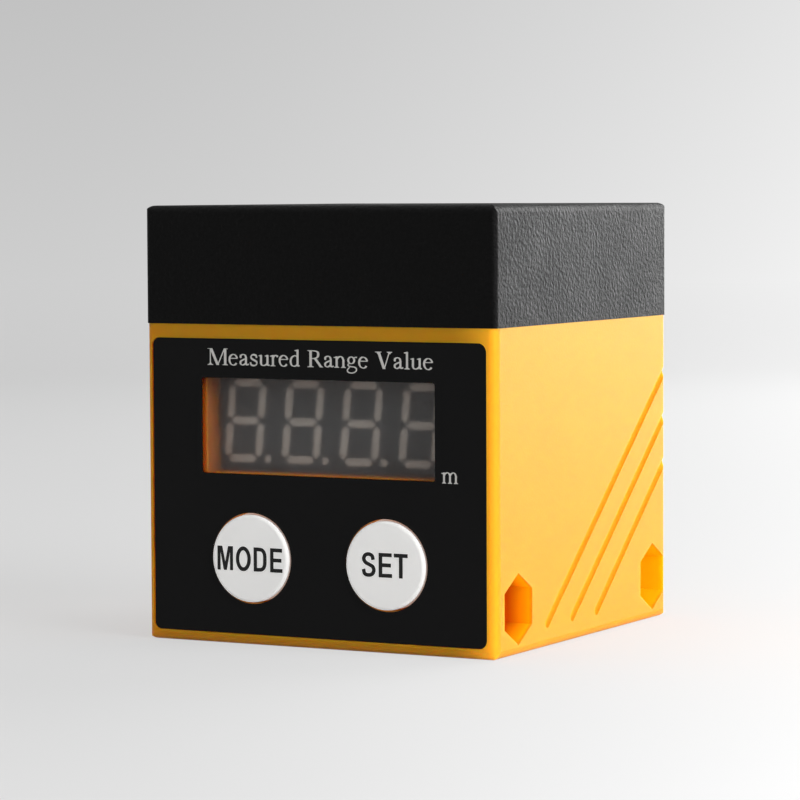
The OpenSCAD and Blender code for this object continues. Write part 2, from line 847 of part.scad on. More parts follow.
// The seven segments of one digit, centred
module digit_shape() {
    across = digit_w - segment_w;
    up = (digit_h - segment_w) / 2;
    for (z = [-up, 0, up]) {
        polygon(leaned(segment_points(0, z, across - segment_gap, false)));
    }
    for (sx = [-1, 1], sz = [-1, 1]) {
        polygon(leaned(segment_points(sx * across / 2, sz * up / 2, up - segment_gap, true)));
    }
}

// All digits and their points, from y0 to y1
module digits(y0, y1) {
    for (i = [0:digit_count - 1]) {
        translate([(i - (digit_count - 1) / 2) * digit_pitch - point_x / 4, 0, window_z]) {
            front_plate(y0, y1) digit_shape();
            rod_y(point_x, -digit_h / 2 + segment_w / 2, segment_w / 2, y0, y1, 32);
        }
    }
}

module display_module() {
    color("darkgray") difference() {
        front_plate(display_y, display_board_y) {
            translate([0, window_z]) square([module_w, module_h], center = true);
        }
        digits(display_y - cut, display_y + segment_t);
    }
}

module digit_segments() {
    color("lightgray") digits(display_y, display_y + segment_t);
}

// The children at the place of each display pin
module each_pin() {
    for (i = [0:pin_count - 1], s = [-1, 1]) {
        translate([(i - (pin_count - 1) / 2) * pin_pitch, 0, window_z + s * pin_row]) children();
    }
}

module display_pins() {
    color("silver") each_pin() {
        rod_y(0, 0, pin_r, display_board_y, display_board_back_y + pin_out, pin_fn);
    }
}

// Outline of the display board, notched beside the bosses of the front bolt
module display_board_shape() {
    h = display_board_high - display_board_low;
    difference() {
        translate([0, display_board_low + h / 2]) rounded_rect(display_board_w, h, board_r);
        for (s = [-1, 1]) {
            translate([s * body_w / 2, notch_high / 2]) {
                square([2 * (body_w / 2 - notch_x), notch_high], center = true);
            }
        }
    }
}

module display_board() {
    color("green") difference() {
        front_plate(display_board_y, display_board_back_y) display_board_shape();
        each_pin() rod_y(0, 0, pin_hole_r, display_board_y - cut, display_board_back_y + cut, pin_fn);
        each_header_pin() cube([header_hole, body_d, header_hole], center = true);
        both_sides() {
            for (z = post_z) {
                rod_y(post_x, z, board_screw_d / 2 + pass_gap, display_board_y - cut,
                    display_board_back_y + cut);
            }
        }
    }
}

module display_screws() {
    color("silver") both_sides() {
        for (z = post_z) {
            translate([post_x, display_board_back_y, z]) rotate([-90, 0, 0]) small_screw();
        }
    }
}

// Buttons

// White cap: round face with a rounded rim, half flange behind the wall, stem to the switch
module button_cap() {
    r = button_d / 2;
    face_y = front_y - button_proud;
    rim = [for (a = [0:15:90]) [r - button_rim * (1 - sin(a)), face_y + button_rim * (1 - cos(a))]];
    turned_y(0, button_z, [[0, face_y], each rim, [r, button_back_y], [0, button_back_y]]);
    rod_y(0, button_z, stem_d / 2, button_back_y - nick, tip_y);
    // Upper half only, so that it clears the front bolt tube
    intersection() {
        union() {
            rod_y(0, button_z, r, button_back_y - nick, inner_front_y + flange_t);
            rod_y(0, button_z, r + button_gap + flange_lap, inner_front_y, inner_front_y + flange_t);
        }
        translate([-body_w / 2, front_y, button_z - stem_d / 2]) cube([body_w, body_d, body_h]);
    }
}

module mode_button() {
    color("white") translate([-button_x, 0, 0]) button_cap();
}

module set_button() {
    color("white") translate([button_x, 0, 0]) button_cap();
}

// Square tact switch body with the bore of its plunger
module switch_body(x) {
    bore_end_y = switch_y + plunger_in + button_travel + plunger_spare;
    color("darkslategray") difference() {
        translate([x - switch_w / 2, switch_y, button_z - switch_w / 2]) {
            cube([switch_w, switch_h, switch_w]);
        }
        rod_y(x, button_z, stem_d / 2 + seat_gap, switch_y - cut, bore_end_y);
    }
}

module mode_switch() {
    switch_body(-button_x);
}

module set_switch() {
    switch_body(button_x);
}

module switch_plunger(x) {
    color("gray") rod_y(x, button_z, stem_d / 2, tip_y, switch_y + plunger_in);
}

module mode_plunger() {
    switch_plunger(-button_x);
}

module set_plunger() {
    switch_plunger(button_x);
}

// Main board

// The children at the place of each pin between the two boards
module each_header_pin() {
    for (i = [0:header_count - 1]) {
        x = header_x + (i - (header_count - 1) / 2) * pin_pitch;
        translate([x, main_y, main_top + header_rise]) children();
    }
}

// The children at the place of each cable socket pin
module each_socket_pin() {
    for (i = [0:socket_count - 1]) {
        translate([(i - (socket_count - 1) / 2) * socket_pitch, socket_y, main_z]) children();
    }
}

module main_board() {
    hole_h = 10;
    color("green") difference() {
        translate([0, main_mid_y, main_z]) {
            linear_extrude(board_t) rounded_rect(main_w, main_d, board_r);
        }
        four_corners(holder_x, hanger_y) {
            rod_z(0, 0, board_screw_d / 2 + pass_gap, main_z - cut, main_top + cut);
        }
        three_wires(receiver_x, can_wire_x, 0, pin_hole_r, main_z - cut, main_top + cut);
        three_wires(emitter_x, diode_wire_x, 90, pin_hole_r, main_z - cut, main_top + cut);
        each_header_pin() translate([0, header_back, 0]) {
            cube([header_hole, header_hole, hole_h], center = true);
        }
        each_socket_pin() cube([header_hole, header_hole, hole_h], center = true);
    }
}

// Bent pin from the display board back and down through the main board
module header_bar(side) {
    front = display_board_y + nick - main_y;
    drop = header_rise + board_t + pin_out;
    translate([-side / 2, front, -side / 2]) cube([side, header_back - front + side / 2, side]);
    translate([-side / 2, header_back - side / 2, -drop]) cube([side, side, drop + side / 2]);
}

module header_pins() {
    color("gold") each_header_pin() header_bar(header_side);
}

module header_strip() {
    strip_w = header_count * pin_pitch;
    color("black") difference() {
        translate([header_x - strip_w / 2, main_y + header_front, main_top]) {
            cube([strip_w, 2 * header_rise, 2 * header_rise]);
        }
        each_header_pin() header_bar(header_side + nick);
    }
}

module cable_socket() {
    room_w = socket_w - 2 * socket_wall;
    room_d = socket_d - 2 * socket_wall;
    color("ivory") difference() {
        translate([-socket_w / 2, socket_y - socket_d / 2, main_z - socket_h]) {
            cube([socket_w, socket_d, socket_h]);
        }
        translate([-room_w / 2, socket_y - room_d / 2, main_z - socket_h - cut]) {
            cube([room_w, room_d, socket_h - socket_wall + cut]);
        }
        each_socket_pin() cube([header_side + nick, header_side + nick, 2 * socket_h], center = true);
    }
}

module socket_pins() {
    pin_l = socket_pin_h + board_t + pin_out;
    color("gold") each_socket_pin() {
        translate([-header_side / 2, -header_side / 2, -socket_pin_h]) {
            cube([header_side, header_side, pin_l]);
        }
    }
}

module main_chips() {
    color("black") for (c = chips) {
        translate([c[0] - c[2] / 2, main_mid_y + c[1] - c[3] / 2, main_z - c[4]]) {
            cube([c[2], c[3], c[4]]);
        }
    }
}

module board_screws() {
    color("silver") four_corners(holder_x, hanger_y) {
        translate([0, 0, main_z]) mirror([0, 0, 1]) small_screw();
    }
}

// Cable gland

// Hexagonal prism along +Y with its corners turned back to a cone at the outer end
module gland_hex(y0, y1) {
    intersection() {
        rod_y(0, gland_z, gland_corner_r, y0, y1, 6);
        turned_y(0, gland_z, [
            [0, y0], [gland_corner_r, y0], [gland_corner_r, y1 - gland_chamfer],
            [gland_flats / 2 - nick, y1], [0, y1]
        ]);
    }
}

module gland_body() {
    color("dimgray") difference() {
        union() {
            rod_y(0, gland_z, gland_thread_d / 2, shank_end_y, thread_end_y);
            gland_hex(hex_y, gland_nut_y);
        }
        rod_y(0, gland_z, gland_bore_r, shank_end_y - cut, gland_end_y);
        rod_y(0, gland_z, seal_r + seat_gap / 2, seal_y, gland_end_y);
    }
}

module gland_washer() {
    color("black") difference() {
        rod_y(0, gland_z, gland_flats / 2, back_y, hex_y);
        rod_y(0, gland_z, gland_thread_d / 2 + seat_gap, back_y - cut, hex_y + cut);
    }
}

module gland_locknut() {
    color("gray") difference() {
        gland_hex(inner_back_y - locknut_t, inner_back_y);
        rod_y(0, gland_z, gland_thread_d / 2 + screw_gap, inner_back_y - locknut_t - cut,
            inner_back_y + cut);
    }
}

module gland_seal() {
    color("black") difference() {
        rod_y(0, gland_z, seal_r, seal_y, seal_end_y);
        rod_y(0, gland_z, cable_hole_d / 2, seal_y - cut, seal_end_y + cut);
    }
}

// Clamping nut: hexagonal skirt that turns into a dome with the cable mouth
module gland_nut() {
    skirt_y = gland_nut_y + 0.55 * gland_nut_l;
    dome_r = gland_flats / 2 - 0.3;
    dome = [
        for (a = [0:15:90])
            [mouth_r + (dome_r - mouth_r) * cos(a), skirt_y + (gland_end_y - skirt_y) * sin(a)]
    ];
    color("dimgray") difference() {
        union() {
            gland_hex(gland_nut_y, skirt_y);
            turned_y(0, gland_z, [
                [0, skirt_y - weld], [dome_r, skirt_y - weld], each dome, [0, gland_end_y]
            ]);
        }
        rod_y(0, gland_z, gland_thread_d / 2 + screw_gap, gland_nut_y - cut, thread_end_y + nick);
        rod_y(0, gland_z, seal_r + seat_gap / 2, gland_nut_y, seal_end_y);
        rod_y(0, gland_z, gland_bore_r, gland_nut_y, gland_end_y + cut);
    }
}

housing();
head_cap();
cap_gasket();
cap_screws();
front_label();
display_window();
display_module();
digit_segments();
display_pins();
display_board();
display_screws();
mode_button();
set_button();
mode_switch();
set_switch();
mode_plunger();
set_plunger();
main_board();
main_chips();
cable_socket();
socket_pins();
header_strip();
header_pins();
board_screws();
optics_holder();
holder_screws();
receiver_window();
receiver_lens();
lens_ring();
photodiode();
emitter_window();
laser_barrel();
collimator_lens();
laser_diode();
gland_body();
gland_washer();
gland_locknut();
gland_seal();
gland_nut();
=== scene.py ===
"""Film, digits, legends, finishes and a studio for a laser distance sensor with a display and two buttons."""

from math import cos, pi, radians, sin, tan

import bpy
import numpy as np
from bpy.props import FloatProperty, FloatVectorProperty, PointerProperty
from mathutils import Matrix, Vector
from mathutils.geometry import delaunay_2d_cdt


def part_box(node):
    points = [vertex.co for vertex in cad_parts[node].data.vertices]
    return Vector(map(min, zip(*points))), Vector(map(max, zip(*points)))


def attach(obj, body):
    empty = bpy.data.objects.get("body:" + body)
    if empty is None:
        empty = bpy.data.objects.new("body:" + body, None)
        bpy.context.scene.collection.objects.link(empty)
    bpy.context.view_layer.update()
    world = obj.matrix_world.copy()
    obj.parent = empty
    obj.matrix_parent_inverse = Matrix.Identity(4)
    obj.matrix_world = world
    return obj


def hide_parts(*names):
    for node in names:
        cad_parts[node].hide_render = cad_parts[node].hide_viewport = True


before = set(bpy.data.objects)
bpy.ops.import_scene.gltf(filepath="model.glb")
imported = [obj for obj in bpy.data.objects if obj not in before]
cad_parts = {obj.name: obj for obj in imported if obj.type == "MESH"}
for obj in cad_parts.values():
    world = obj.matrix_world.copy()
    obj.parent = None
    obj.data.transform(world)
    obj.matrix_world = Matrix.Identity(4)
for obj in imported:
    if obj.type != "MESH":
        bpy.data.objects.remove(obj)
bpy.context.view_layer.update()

bl_info = {
    "name": "Laser distance sensor",
    "version": (1, 0, 0),
    "blender": (4, 5, 0),
    "location": "3D View > Sidebar > Sensor",
    "description": "Front film, digits, legends, finishes and a studio for the sensor",
    "category": "Object",
}

MM = 0.001


# Shader building


class Term:
    """A shader socket in a sum: the operators on it add Math nodes."""

    def __init__(self, finish, socket):
        self.finish = finish
        self.socket = socket

    def math(self, operation, first, second=0.0):
        return self.finish.add("ShaderNodeMath", {"operation": operation}, {0: first, 1: second})

    def __add__(self, other):
        return self.math("ADD", self, other)

    __radd__ = __add__

    def __sub__(self, other):
        return self.math("SUBTRACT", self, other)

    def __rsub__(self, other):
        return self.math("SUBTRACT", other, self)

    def __mul__(self, other):
        return self.math("MULTIPLY", self, other)

    __rmul__ = __mul__

    def __pow__(self, other):
        return self.math("POWER", self, other)

    def __truediv__(self, other):
        return self.math("DIVIDE", self, other)

    def size(self):
        """The value without its sign."""
        return self.math("ABSOLUTE", self)

    def limited(self):
        """The value held between 0 and 1."""
        return self.finish.add("ShaderNodeClamp", {}, {"Value": self})


class Finish:
    """A material or world under construction, with one method that adds any node."""

    def __init__(self, owner):
        self.owner = owner
        owner.use_nodes = True
        self.tree = owner.node_tree
        self.tree.nodes.clear()

    def add(self, kind, settings=None, inputs=None, output=0):
        """Adds a node: its settings first, then the values or links of its sockets."""
        node = self.tree.nodes.new(kind)
        for key, value in (settings or {}).items():
            setattr(node, key, value)
        for key, value in (inputs or {}).items():
            socket = node.inputs[key]
            if isinstance(value, Term):
                self.tree.links.new(value.socket, socket)
            elif socket.type == "RGBA" and len(value) == 3:
                socket.default_value = (*value, 1.0)
            else:
                socket.default_value = value
        return Term(self, node.outputs[output]) if node.outputs else None

    def place(self, stretch=(1.0, 1.0, 1.0)):
        """Object coordinates in millimetres, stretched along each axis."""
        coordinates = self.add("ShaderNodeTexCoord", output=3)
        scale = tuple(s / MM for s in stretch)
        return self.add("ShaderNodeMapping", {}, {"Vector": coordinates, "Scale": scale})

    def along(self, direction, origin=(0.0, 0.0, 0.0)):
        """Distance in millimetres from the origin, measured along a direction."""
        shift = sum(d * o for d, o in zip(direction, origin)) / MM
        return self.add("ShaderNodeVectorMath", {"operation": "DOT_PRODUCT"}, {
            0: self.place(), 1: direction}, output=1) - shift

    def noise(self, size, detail, rough=0.55, stretch=(1.0, 1.0, 1.0)):
        """Noise from 0 to 1 whose features are about size millimetres across."""
        return self.add("ShaderNodeTexNoise", {}, {
            "Vector": self.place(stretch), "Scale": 1.0 / size, "Detail": detail, "Roughness": rough})

    def cells(self, size):
        """Smoothed distance to the nearest of scattered points about size millimetres apart."""
        return self.add("ShaderNodeTexVoronoi", {"feature": "SMOOTH_F1"}, {
            "Vector": self.place(), "Scale": 1.0 / size})

    def tint(self, factor, first, second):
        """Colour that turns from first to second with the factor."""
        return self.add("ShaderNodeMix", {"data_type": "RGBA"}, {0: factor, 6: first, 7: second}, output=2)

    def bump(self, height, depth):
        """Normal of a relief of that depth in millimetres."""
        return self.add("ShaderNodeBump", {}, {"Height": height, "Distance": depth * MM, "Strength": 1.0})

    def seen(self):
        """1 for camera, glossy and transmission rays, otherwise 0."""
        camera, glossy, through = (self.add("ShaderNodeLightPath", output=i) for i in (0, 3, 6))
        return (camera + glossy + through).limited()

    def surface(self, **inputs):
        """Ends a material in one Principled shader; a key's underscores stand for spaces."""
        named = {key.replace("_", " "): value for key, value in inputs.items()}
        shader = self.add("ShaderNodeBsdfPrincipled", {}, named)
        self.add("ShaderNodeOutputMaterial", {}, {"Surface": shader})
        return self.owner


def material(name):
    """New, empty material of that name."""
    return Finish(bpy.data.materials.new(name))


def darker(colour, share):
    """The colour times a share."""
    return tuple(c * share for c in colour)


def paint(finish, *nodes):
    """Gives the finish to these CAD nodes."""
    for name in nodes:
        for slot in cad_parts[name].material_slots:
            slot.material = finish


# Finishes


def moulded_yellow(look):
    """Satin moulded plastic with fine matt grain and faint flow clouds. In place of light that wanders in it,
    its hollows have painted light and shade: the grooves and nut pockets, which lie behind the side face, a
    painted orange glow with painted shade deep in the near pockets, and the walls behind the film's opening
    painted shade. Emission paints a glow into the pockets, and into the front's rim towards the lit corner by
    the square of one minus a sixth of the distance from the side in millimetres."""
    f = material("moulded_yellow")
    clouds, fleck = f.noise(9.0, 2.0), f.noise(0.5, 2.0)
    grain = f.noise(look.housing_grain / MM, 4.0, 0.6)
    colour = f.tint(clouds, darker(look.housing_colour, 0.95), darker(look.housing_colour, 1.04))
    skin = f.tint((fleck * 0.25).limited(), colour, darker(look.housing_colour, 0.9))

    # Millimetres behind the side face, behind the front face, from the middle and above the base
    low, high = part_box("housing")
    side, front, seam = high[0] / MM, low[1] / MM, look.seam_height / MM
    x, y, height = (f.along(axis) for axis in ((1.0, 0.0, 0.0), (0.0, 1.0, 0.0), (0.0, 0.0, 1.0)))
    behind, inward = side - x.size(), y - front
    ends = y.size()

    # Places on the side: hollows of both kinds between base and seam, then pockets near the ends of its foot
    recess = (behind * 2.5 - 0.2).limited() * (7.5 - behind).limited()
    recess = recess * ((-front - 0.2 - ends) * 3.0).limited()
    hollow = recess * (height - 0.9).limited() * ((seam - 0.5 - height) * 2.0).limited()
    pocket = hollow * (look.pocket_top / MM - height).limited()
    pocket = pocket * ((ends - look.pocket_inner / MM) * 2.0).limited()
    deep = (behind * 0.36 - 0.1).limited()
    rear = (y * 0.2).limited()
    # Painted glow at the pockets' mouths, painted shade deep in the near pockets and painted light deep in
    # the rear ones
    painted_pocket_depths = f.tint(rear, look.pocket_depth_painted_shade, look.rear_pocket_painted_light)
    # Painted glow: a more saturated orange in the grooves and pockets, standing in for light inside the
    # plastic
    painted_grooves = f.tint(hollow, skin, look.groove_painted_glow)
    painted_hollows = f.tint(pocket, painted_grooves, f.tint(deep, look.pocket_mouth_painted_glow, painted_pocket_depths))

    # Walls behind the film's opening with painted shade, darker inwards, and the painted glow of the rim
    # beside the lit corner
    shroud = ((inward - 0.8) * 2.0).limited() * (8.0 - inward).limited() * (behind - 5.0).limited()
    shroud = shroud * (height - 16.0).limited()
    # Painted shade on the walls behind the film's opening, darker inwards
    shade = f.tint(((inward - 0.8) * 0.16).limited(), look.shroud_painted_shade, darker(look.shroud_painted_shade, 0.3))
    corner = ((x - side) * (1.0 / 6.0) + 1.0).limited() ** 2.0 * ((1.1 - inward) * 1.2).limited()
    # Painted glows, given out as emission, in the pockets and on the front's rim near the lit corner
    near_painted_glow = f.tint(deep, look.pocket_painted_glow, darker(look.pocket_painted_glow, 0.1))
    rim_painted_glow = f.tint(corner, (0.0, 0.0, 0.0), look.corner_painted_glow)
    glow = f.tint(pocket, rim_painted_glow, f.tint(rear, near_painted_glow, look.rear_pocket_painted_glow))
    return f.surface(
        Base_Color=f.tint(shroud, painted_hollows, shade), Roughness=0.42 + grain * 0.12, Specular_IOR_Level=0.11,
        Normal=f.bump(grain, 0.02), Subsurface_Weight=look.housing_glow, Subsurface_Radius=(1.0, 0.3, 0.03),
        Subsurface_Scale=look.housing_depth, Emission_Color=glow, Emission_Strength=1.0)


def grained_black(look):
    """Black moulding with a leather-like eroded grain: raised cells of noise over finer pits."""
    f = material("grained_black")
    size = look.cap_grain / MM
    lumps = f.noise(size, 2.0, 0.5)
    pits = f.cells(size * 0.8)
    fine = f.noise(size * 0.35, 3.0, 0.6)
    relief = lumps * 0.6 + pits * 0.35 + fine * 0.3
    worn = f.noise(5.0, 2.0)
    return f.surface(
        Base_Color=f.tint(lumps, darker(look.cap_colour, 0.6), darker(look.cap_colour, 1.5)),
        Roughness=0.38 + fine * 0.1 + worn * 0.14, Specular_IOR_Level=0.065, Normal=f.bump(relief, 0.15))


def printed_film(look):
    """Matt black polyester film with a barely visible rolled texture."""
    f = material("printed_film")
    rolled = f.noise(0.22, 2.0)
    clouds = f.noise(12.0, 2.0)
    return f.surface(
        Base_Color=f.tint(clouds, darker(look.film_colour, 0.85), darker(look.film_colour, 1.15)),
        Roughness=0.46 + rolled * 0.08, Specular_IOR_Level=0.095, Normal=f.bump(rolled, 0.004))


def frosted_pane(look):
    """Clear pane with a matt front that softens what lies behind it and lets the lamps' light through."""
    f = material("frosted_pane")
    etch = f.noise(0.15, 2.0)
    pane = f.add("ShaderNodeBsdfPrincipled", {}, {
        "Base Color": look.pane_colour, "Roughness": 0.27 + etch * 0.04, "IOR": 1.25,
        "Transmission Weight": 1.0, "Specular IOR Level": 0.2})
    clear = f.add("ShaderNodeBsdfTransparent", {}, {"Color": look.pane_colour})
    shadow = f.add("ShaderNodeLightPath", output=1)
    mixed = f.add("ShaderNodeMixShader", {}, {0: shadow, 1: pane, 2: clear})
    f.add("ShaderNodeOutputMaterial", {}, {"Surface": mixed})
    return f.owner


def display_face(look):
    """Dark grey printed face of the digit module, with faint dust in the ink."""
    f = material("display_face")
    ink = f.noise(0.25, 3.0)
    clouds = f.noise(7.0, 2.0)
    return f.surface(
        Base_Color=f.tint(clouds * 0.6 + ink * 0.4, darker(look.display_colour, 0.9),
                          darker(look.display_colour, 1.12)),
        Roughness=0.55 + ink * 0.15, Specular_IOR_Level=0.3, Normal=f.bump(ink, 0.01))


def segment_resin(look):
    """Unlit milky resin of the segments, clouded by its filler."""
    f = material("segment_resin")
    filler = f.noise(0.35, 3.0)
    return f.surface(
        Base_Color=f.tint(filler, darker(look.segment_colour, 0.85), darker(look.segment_colour, 1.1)),
        Roughness=0.4 + filler * 0.15, Specular_IOR_Level=0.4, Normal=f.bump(filler, 0.01))


def button_white(look):
    """Satin white caps with a faint polish pattern and a painted glow, given out as emission, that brightens
    them.
    """
    f = material("button_white")
    polish = f.noise(0.3, 3.0)
    clouds = f.noise(4.0, 2.0)
    return f.surface(
        Base_Color=f.tint(clouds, darker(look.button_colour, 0.975), look.button_colour),
        Roughness=0.34 + polish * 0.1, Specular_IOR_Level=0.4, Normal=f.bump(polish, 0.006),
        Emission_Color=look.button_colour, Emission_Strength=look.button_painted_glow)


def printed_ink(name, colour):
    """Screen-printed ink with slightly uneven cover."""
    f = material(name)
    cover = f.noise(0.12, 3.0)
    return f.surface(
        Base_Color=f.tint(cover, darker(colour, 0.86), colour),
        Roughness=0.5 + cover * 0.15, Specular_IOR_Level=0.3, Normal=f.bump(cover, 0.004))


def rubber(name):
    """Matt black rubber with a dusty bloom."""
    f = material(name)
    bloom = f.noise(0.8, 4.0)
    return f.surface(
        Base_Color=f.tint(bloom, (0.012, 0.012, 0.013), (0.03, 0.03, 0.031)),
        Roughness=0.7 + bloom * 0.15, Normal=f.bump(bloom, 0.02))


def plated_steel():
    """Zinc-plated steel with fine turning marks and cloudy patches."""
    f = material("plated_steel")
    clouds = f.noise(1.2, 3.0)
    marks = f.noise(0.08, 2.0, stretch=(1.0, 1.0, 0.15))
    return f.surface(
        Base_Color=f.tint(clouds, (0.5, 0.5, 0.5), (0.66, 0.65, 0.63)), Metallic=1.0,
        Roughness=0.24 + marks * 0.2, Normal=f.bump(marks, 0.004))


def turned_brass(name, colour):
    """Brass with fine turning rings across the optical axis and a light tarnish."""
    f = material(name)
    rings = f.noise(0.07, 1.0, stretch=(0.05, 0.05, 1.0))
    tarnish = f.noise(1.5, 4.0)
    return f.surface(
        Base_Color=f.tint(tarnish, darker(colour, 0.7), colour), Metallic=1.0,
        Roughness=0.2 + tarnish * 0.2, Normal=f.bump(rings, 0.004))


def board_lacquer():
    """Green solder lacquer over woven glass cloth."""
    f = material("board_lacquer")
    warp, weft = (f.add("ShaderNodeTexWave", {"bands_direction": axis}, {
        "Vector": f.place(), "Scale": 1.1, "Distortion": 0.6}) for axis in "XY")
    cloth = (warp + weft) * 0.5
    return f.surface(
        Base_Color=f.tint(cloth, (0.012, 0.12, 0.045), (0.02, 0.19, 0.07)),
        Roughness=0.25 + cloth * 0.1, Normal=f.bump(cloth, 0.01))


def small_moulding(name, colour, grain=0.12):
    """Small moulded piece with a fine spark-eroded skin."""
    f = material(name)
    skin = f.noise(grain, 3.0)
    return f.surface(
        Base_Color=f.tint(skin, darker(colour, 0.85), darker(colour, 1.15)),
        Roughness=0.48 + skin * 0.16, Normal=f.bump(skin, 0.012))


def coated_glass(name, tint=(0.86, 0.9, 0.96)):
    """Polished glass with a faint blue coating and specks of dust."""
    f = material(name)
    dust = f.noise(0.4, 5.0) ** 6.0
    return f.surface(
        Base_Color=tint, Roughness=0.02 + dust * 0.5, IOR=1.5, Transmission_Weight=1.0,
        Coat_Weight=0.3, Coat_Tint=(0.5, 0.6, 1.0))


def ribbed_nylon(look):
    """Black nylon of the cable gland: fine skin with faint flow lines along the axis."""
    f = material("ribbed_nylon")
    flow = f.noise(0.6, 3.0, stretch=(1.0, 0.15, 1.0))
    skin = f.noise(0.15, 3.0)
    return f.surface(
        Base_Color=f.tint(flow, darker(look.cap_colour, 0.9), darker(look.cap_colour, 2.0)),
        Roughness=0.38 + skin * 0.12, Normal=f.bump(flow * 0.5 + skin * 0.5, 0.015))


# Lettering, drawn with a pen in thousandths of the letter's own em

# Steps of a curved span of a pen line and of a rounded corner, then widths of a roman stem, a capital's stem
# and a hairline, then heights of the letters
SPAN_STEPS, CORNER_STEPS = 7, 8
STEM, CAP_STEM, HAIR = 84, 100, 38
ROMAN_CAP, ROMAN_SMALL, BOLD_CAP = 662, 450, 716


def smooth(points):
    """Path through the points: each span is the cubic whose end tangents are half the neighbours' chord."""
    p = np.array(points, float)
    p = np.vstack([2 * p[0] - p[1], p, 2 * p[-1] - p[-2]])
    a, b, c, d = (p[i:len(p) - 3 + i, None] for i in range(4))
    t = np.linspace(0, 1, SPAN_STEPS, endpoint=False)[:, None]
    spans = b + 0.5 * t * (c - a + t * (2 * a - 5 * b + 4 * c - d + t * (3 * b - a - 3 * c + d)))
    return np.vstack([spans.reshape(-1, 2), p[-2]])


def arc(x, y, rx, ry, start, end, steps=28):
    """Points of an ellipse about x, y from the start angle to the end angle, in degrees."""
    a = np.radians(np.linspace(start, end, steps))
    return np.stack([x + rx * np.cos(a), y + ry * np.sin(a)], axis=1)


def disc(x, y, r, steps):
    """Corners of a circle about x, y."""
    return arc(x, y, r, r, 0, 360 - 360 / steps, steps)


def pen(path, thick, thin, tilt=0.0):
    """Outline of a pen line: each point moves along its normal n by half of
    sqrt((thick times nx)^2 + (thin times ny)^2), with n turned by the tilt in degrees."""
    path = np.asarray(path, float)
    along = np.gradient(path, axis=0)
    along /= np.linalg.norm(along, axis=1)[:, None]
    normal = np.stack([-along[:, 1], along[:, 0]], axis=1)
    c, s = cos(radians(tilt)), sin(radians(tilt))
    across = c * normal[:, 0] + s * normal[:, 1]
    up = c * normal[:, 1] - s * normal[:, 0]
    half = 0.5 * np.sqrt((thick * across) ** 2 + (thin * up) ** 2)[:, None]
    return np.vstack([path + normal * half, (path - normal * half)[::-1]])


def ring(x, y, rx, ry, thick, thin):
    """Closed pen line about x, y, as two half turns that overlap a little."""
    return [pen(arc(x, y, rx, ry, start, start + 184), thick, thin) for start in (0, 180)]


def box(x0, y0, x1, y1):
    """Upright rectangle between two corners."""
    return np.array([(x0, y0), (x1, y0), (x1, y1), (x0, y1)], float)


def slant(x0, y0, x1, y1, width):
    """Slanting stroke between two heights whose width is measured level."""
    w = width / 2
    return np.array([(x0 - w, y0), (x0 + w, y0), (x1 + w, y1), (x1 - w, y1)], float)


def foot(x, y, half, up=1):
    """Bracketed serif about x on the line y: a thin bar that swells to its stem, upwards or, by -1, down."""
    right = np.array([(30, 90), (60, 40), (half, 24), (half, 0)], float)
    return np.vstack([right[::-1] * (-1, 1), right]) * (1, up) + (x, y)


def flag(x, y, out=95):
    """Slanting entry stroke at the top left of a stem."""
    return np.array([(x - out, y - 42), (x - out, y - 62), (x, y - 80), (x + 38, y)], float)


def round_hand(x0, x1):
    """Arch of n and m from one stem to the next."""
    top = ROMAN_SMALL
    return pen(smooth([(x0 + 10, top - 120), (x0 + 60, top - 52), (x0 + 150, top - 12),
                       (x1 - 45, top - 45), (x1, top - 150), (x1, top - 190)]), STEM, HAIR, -12)


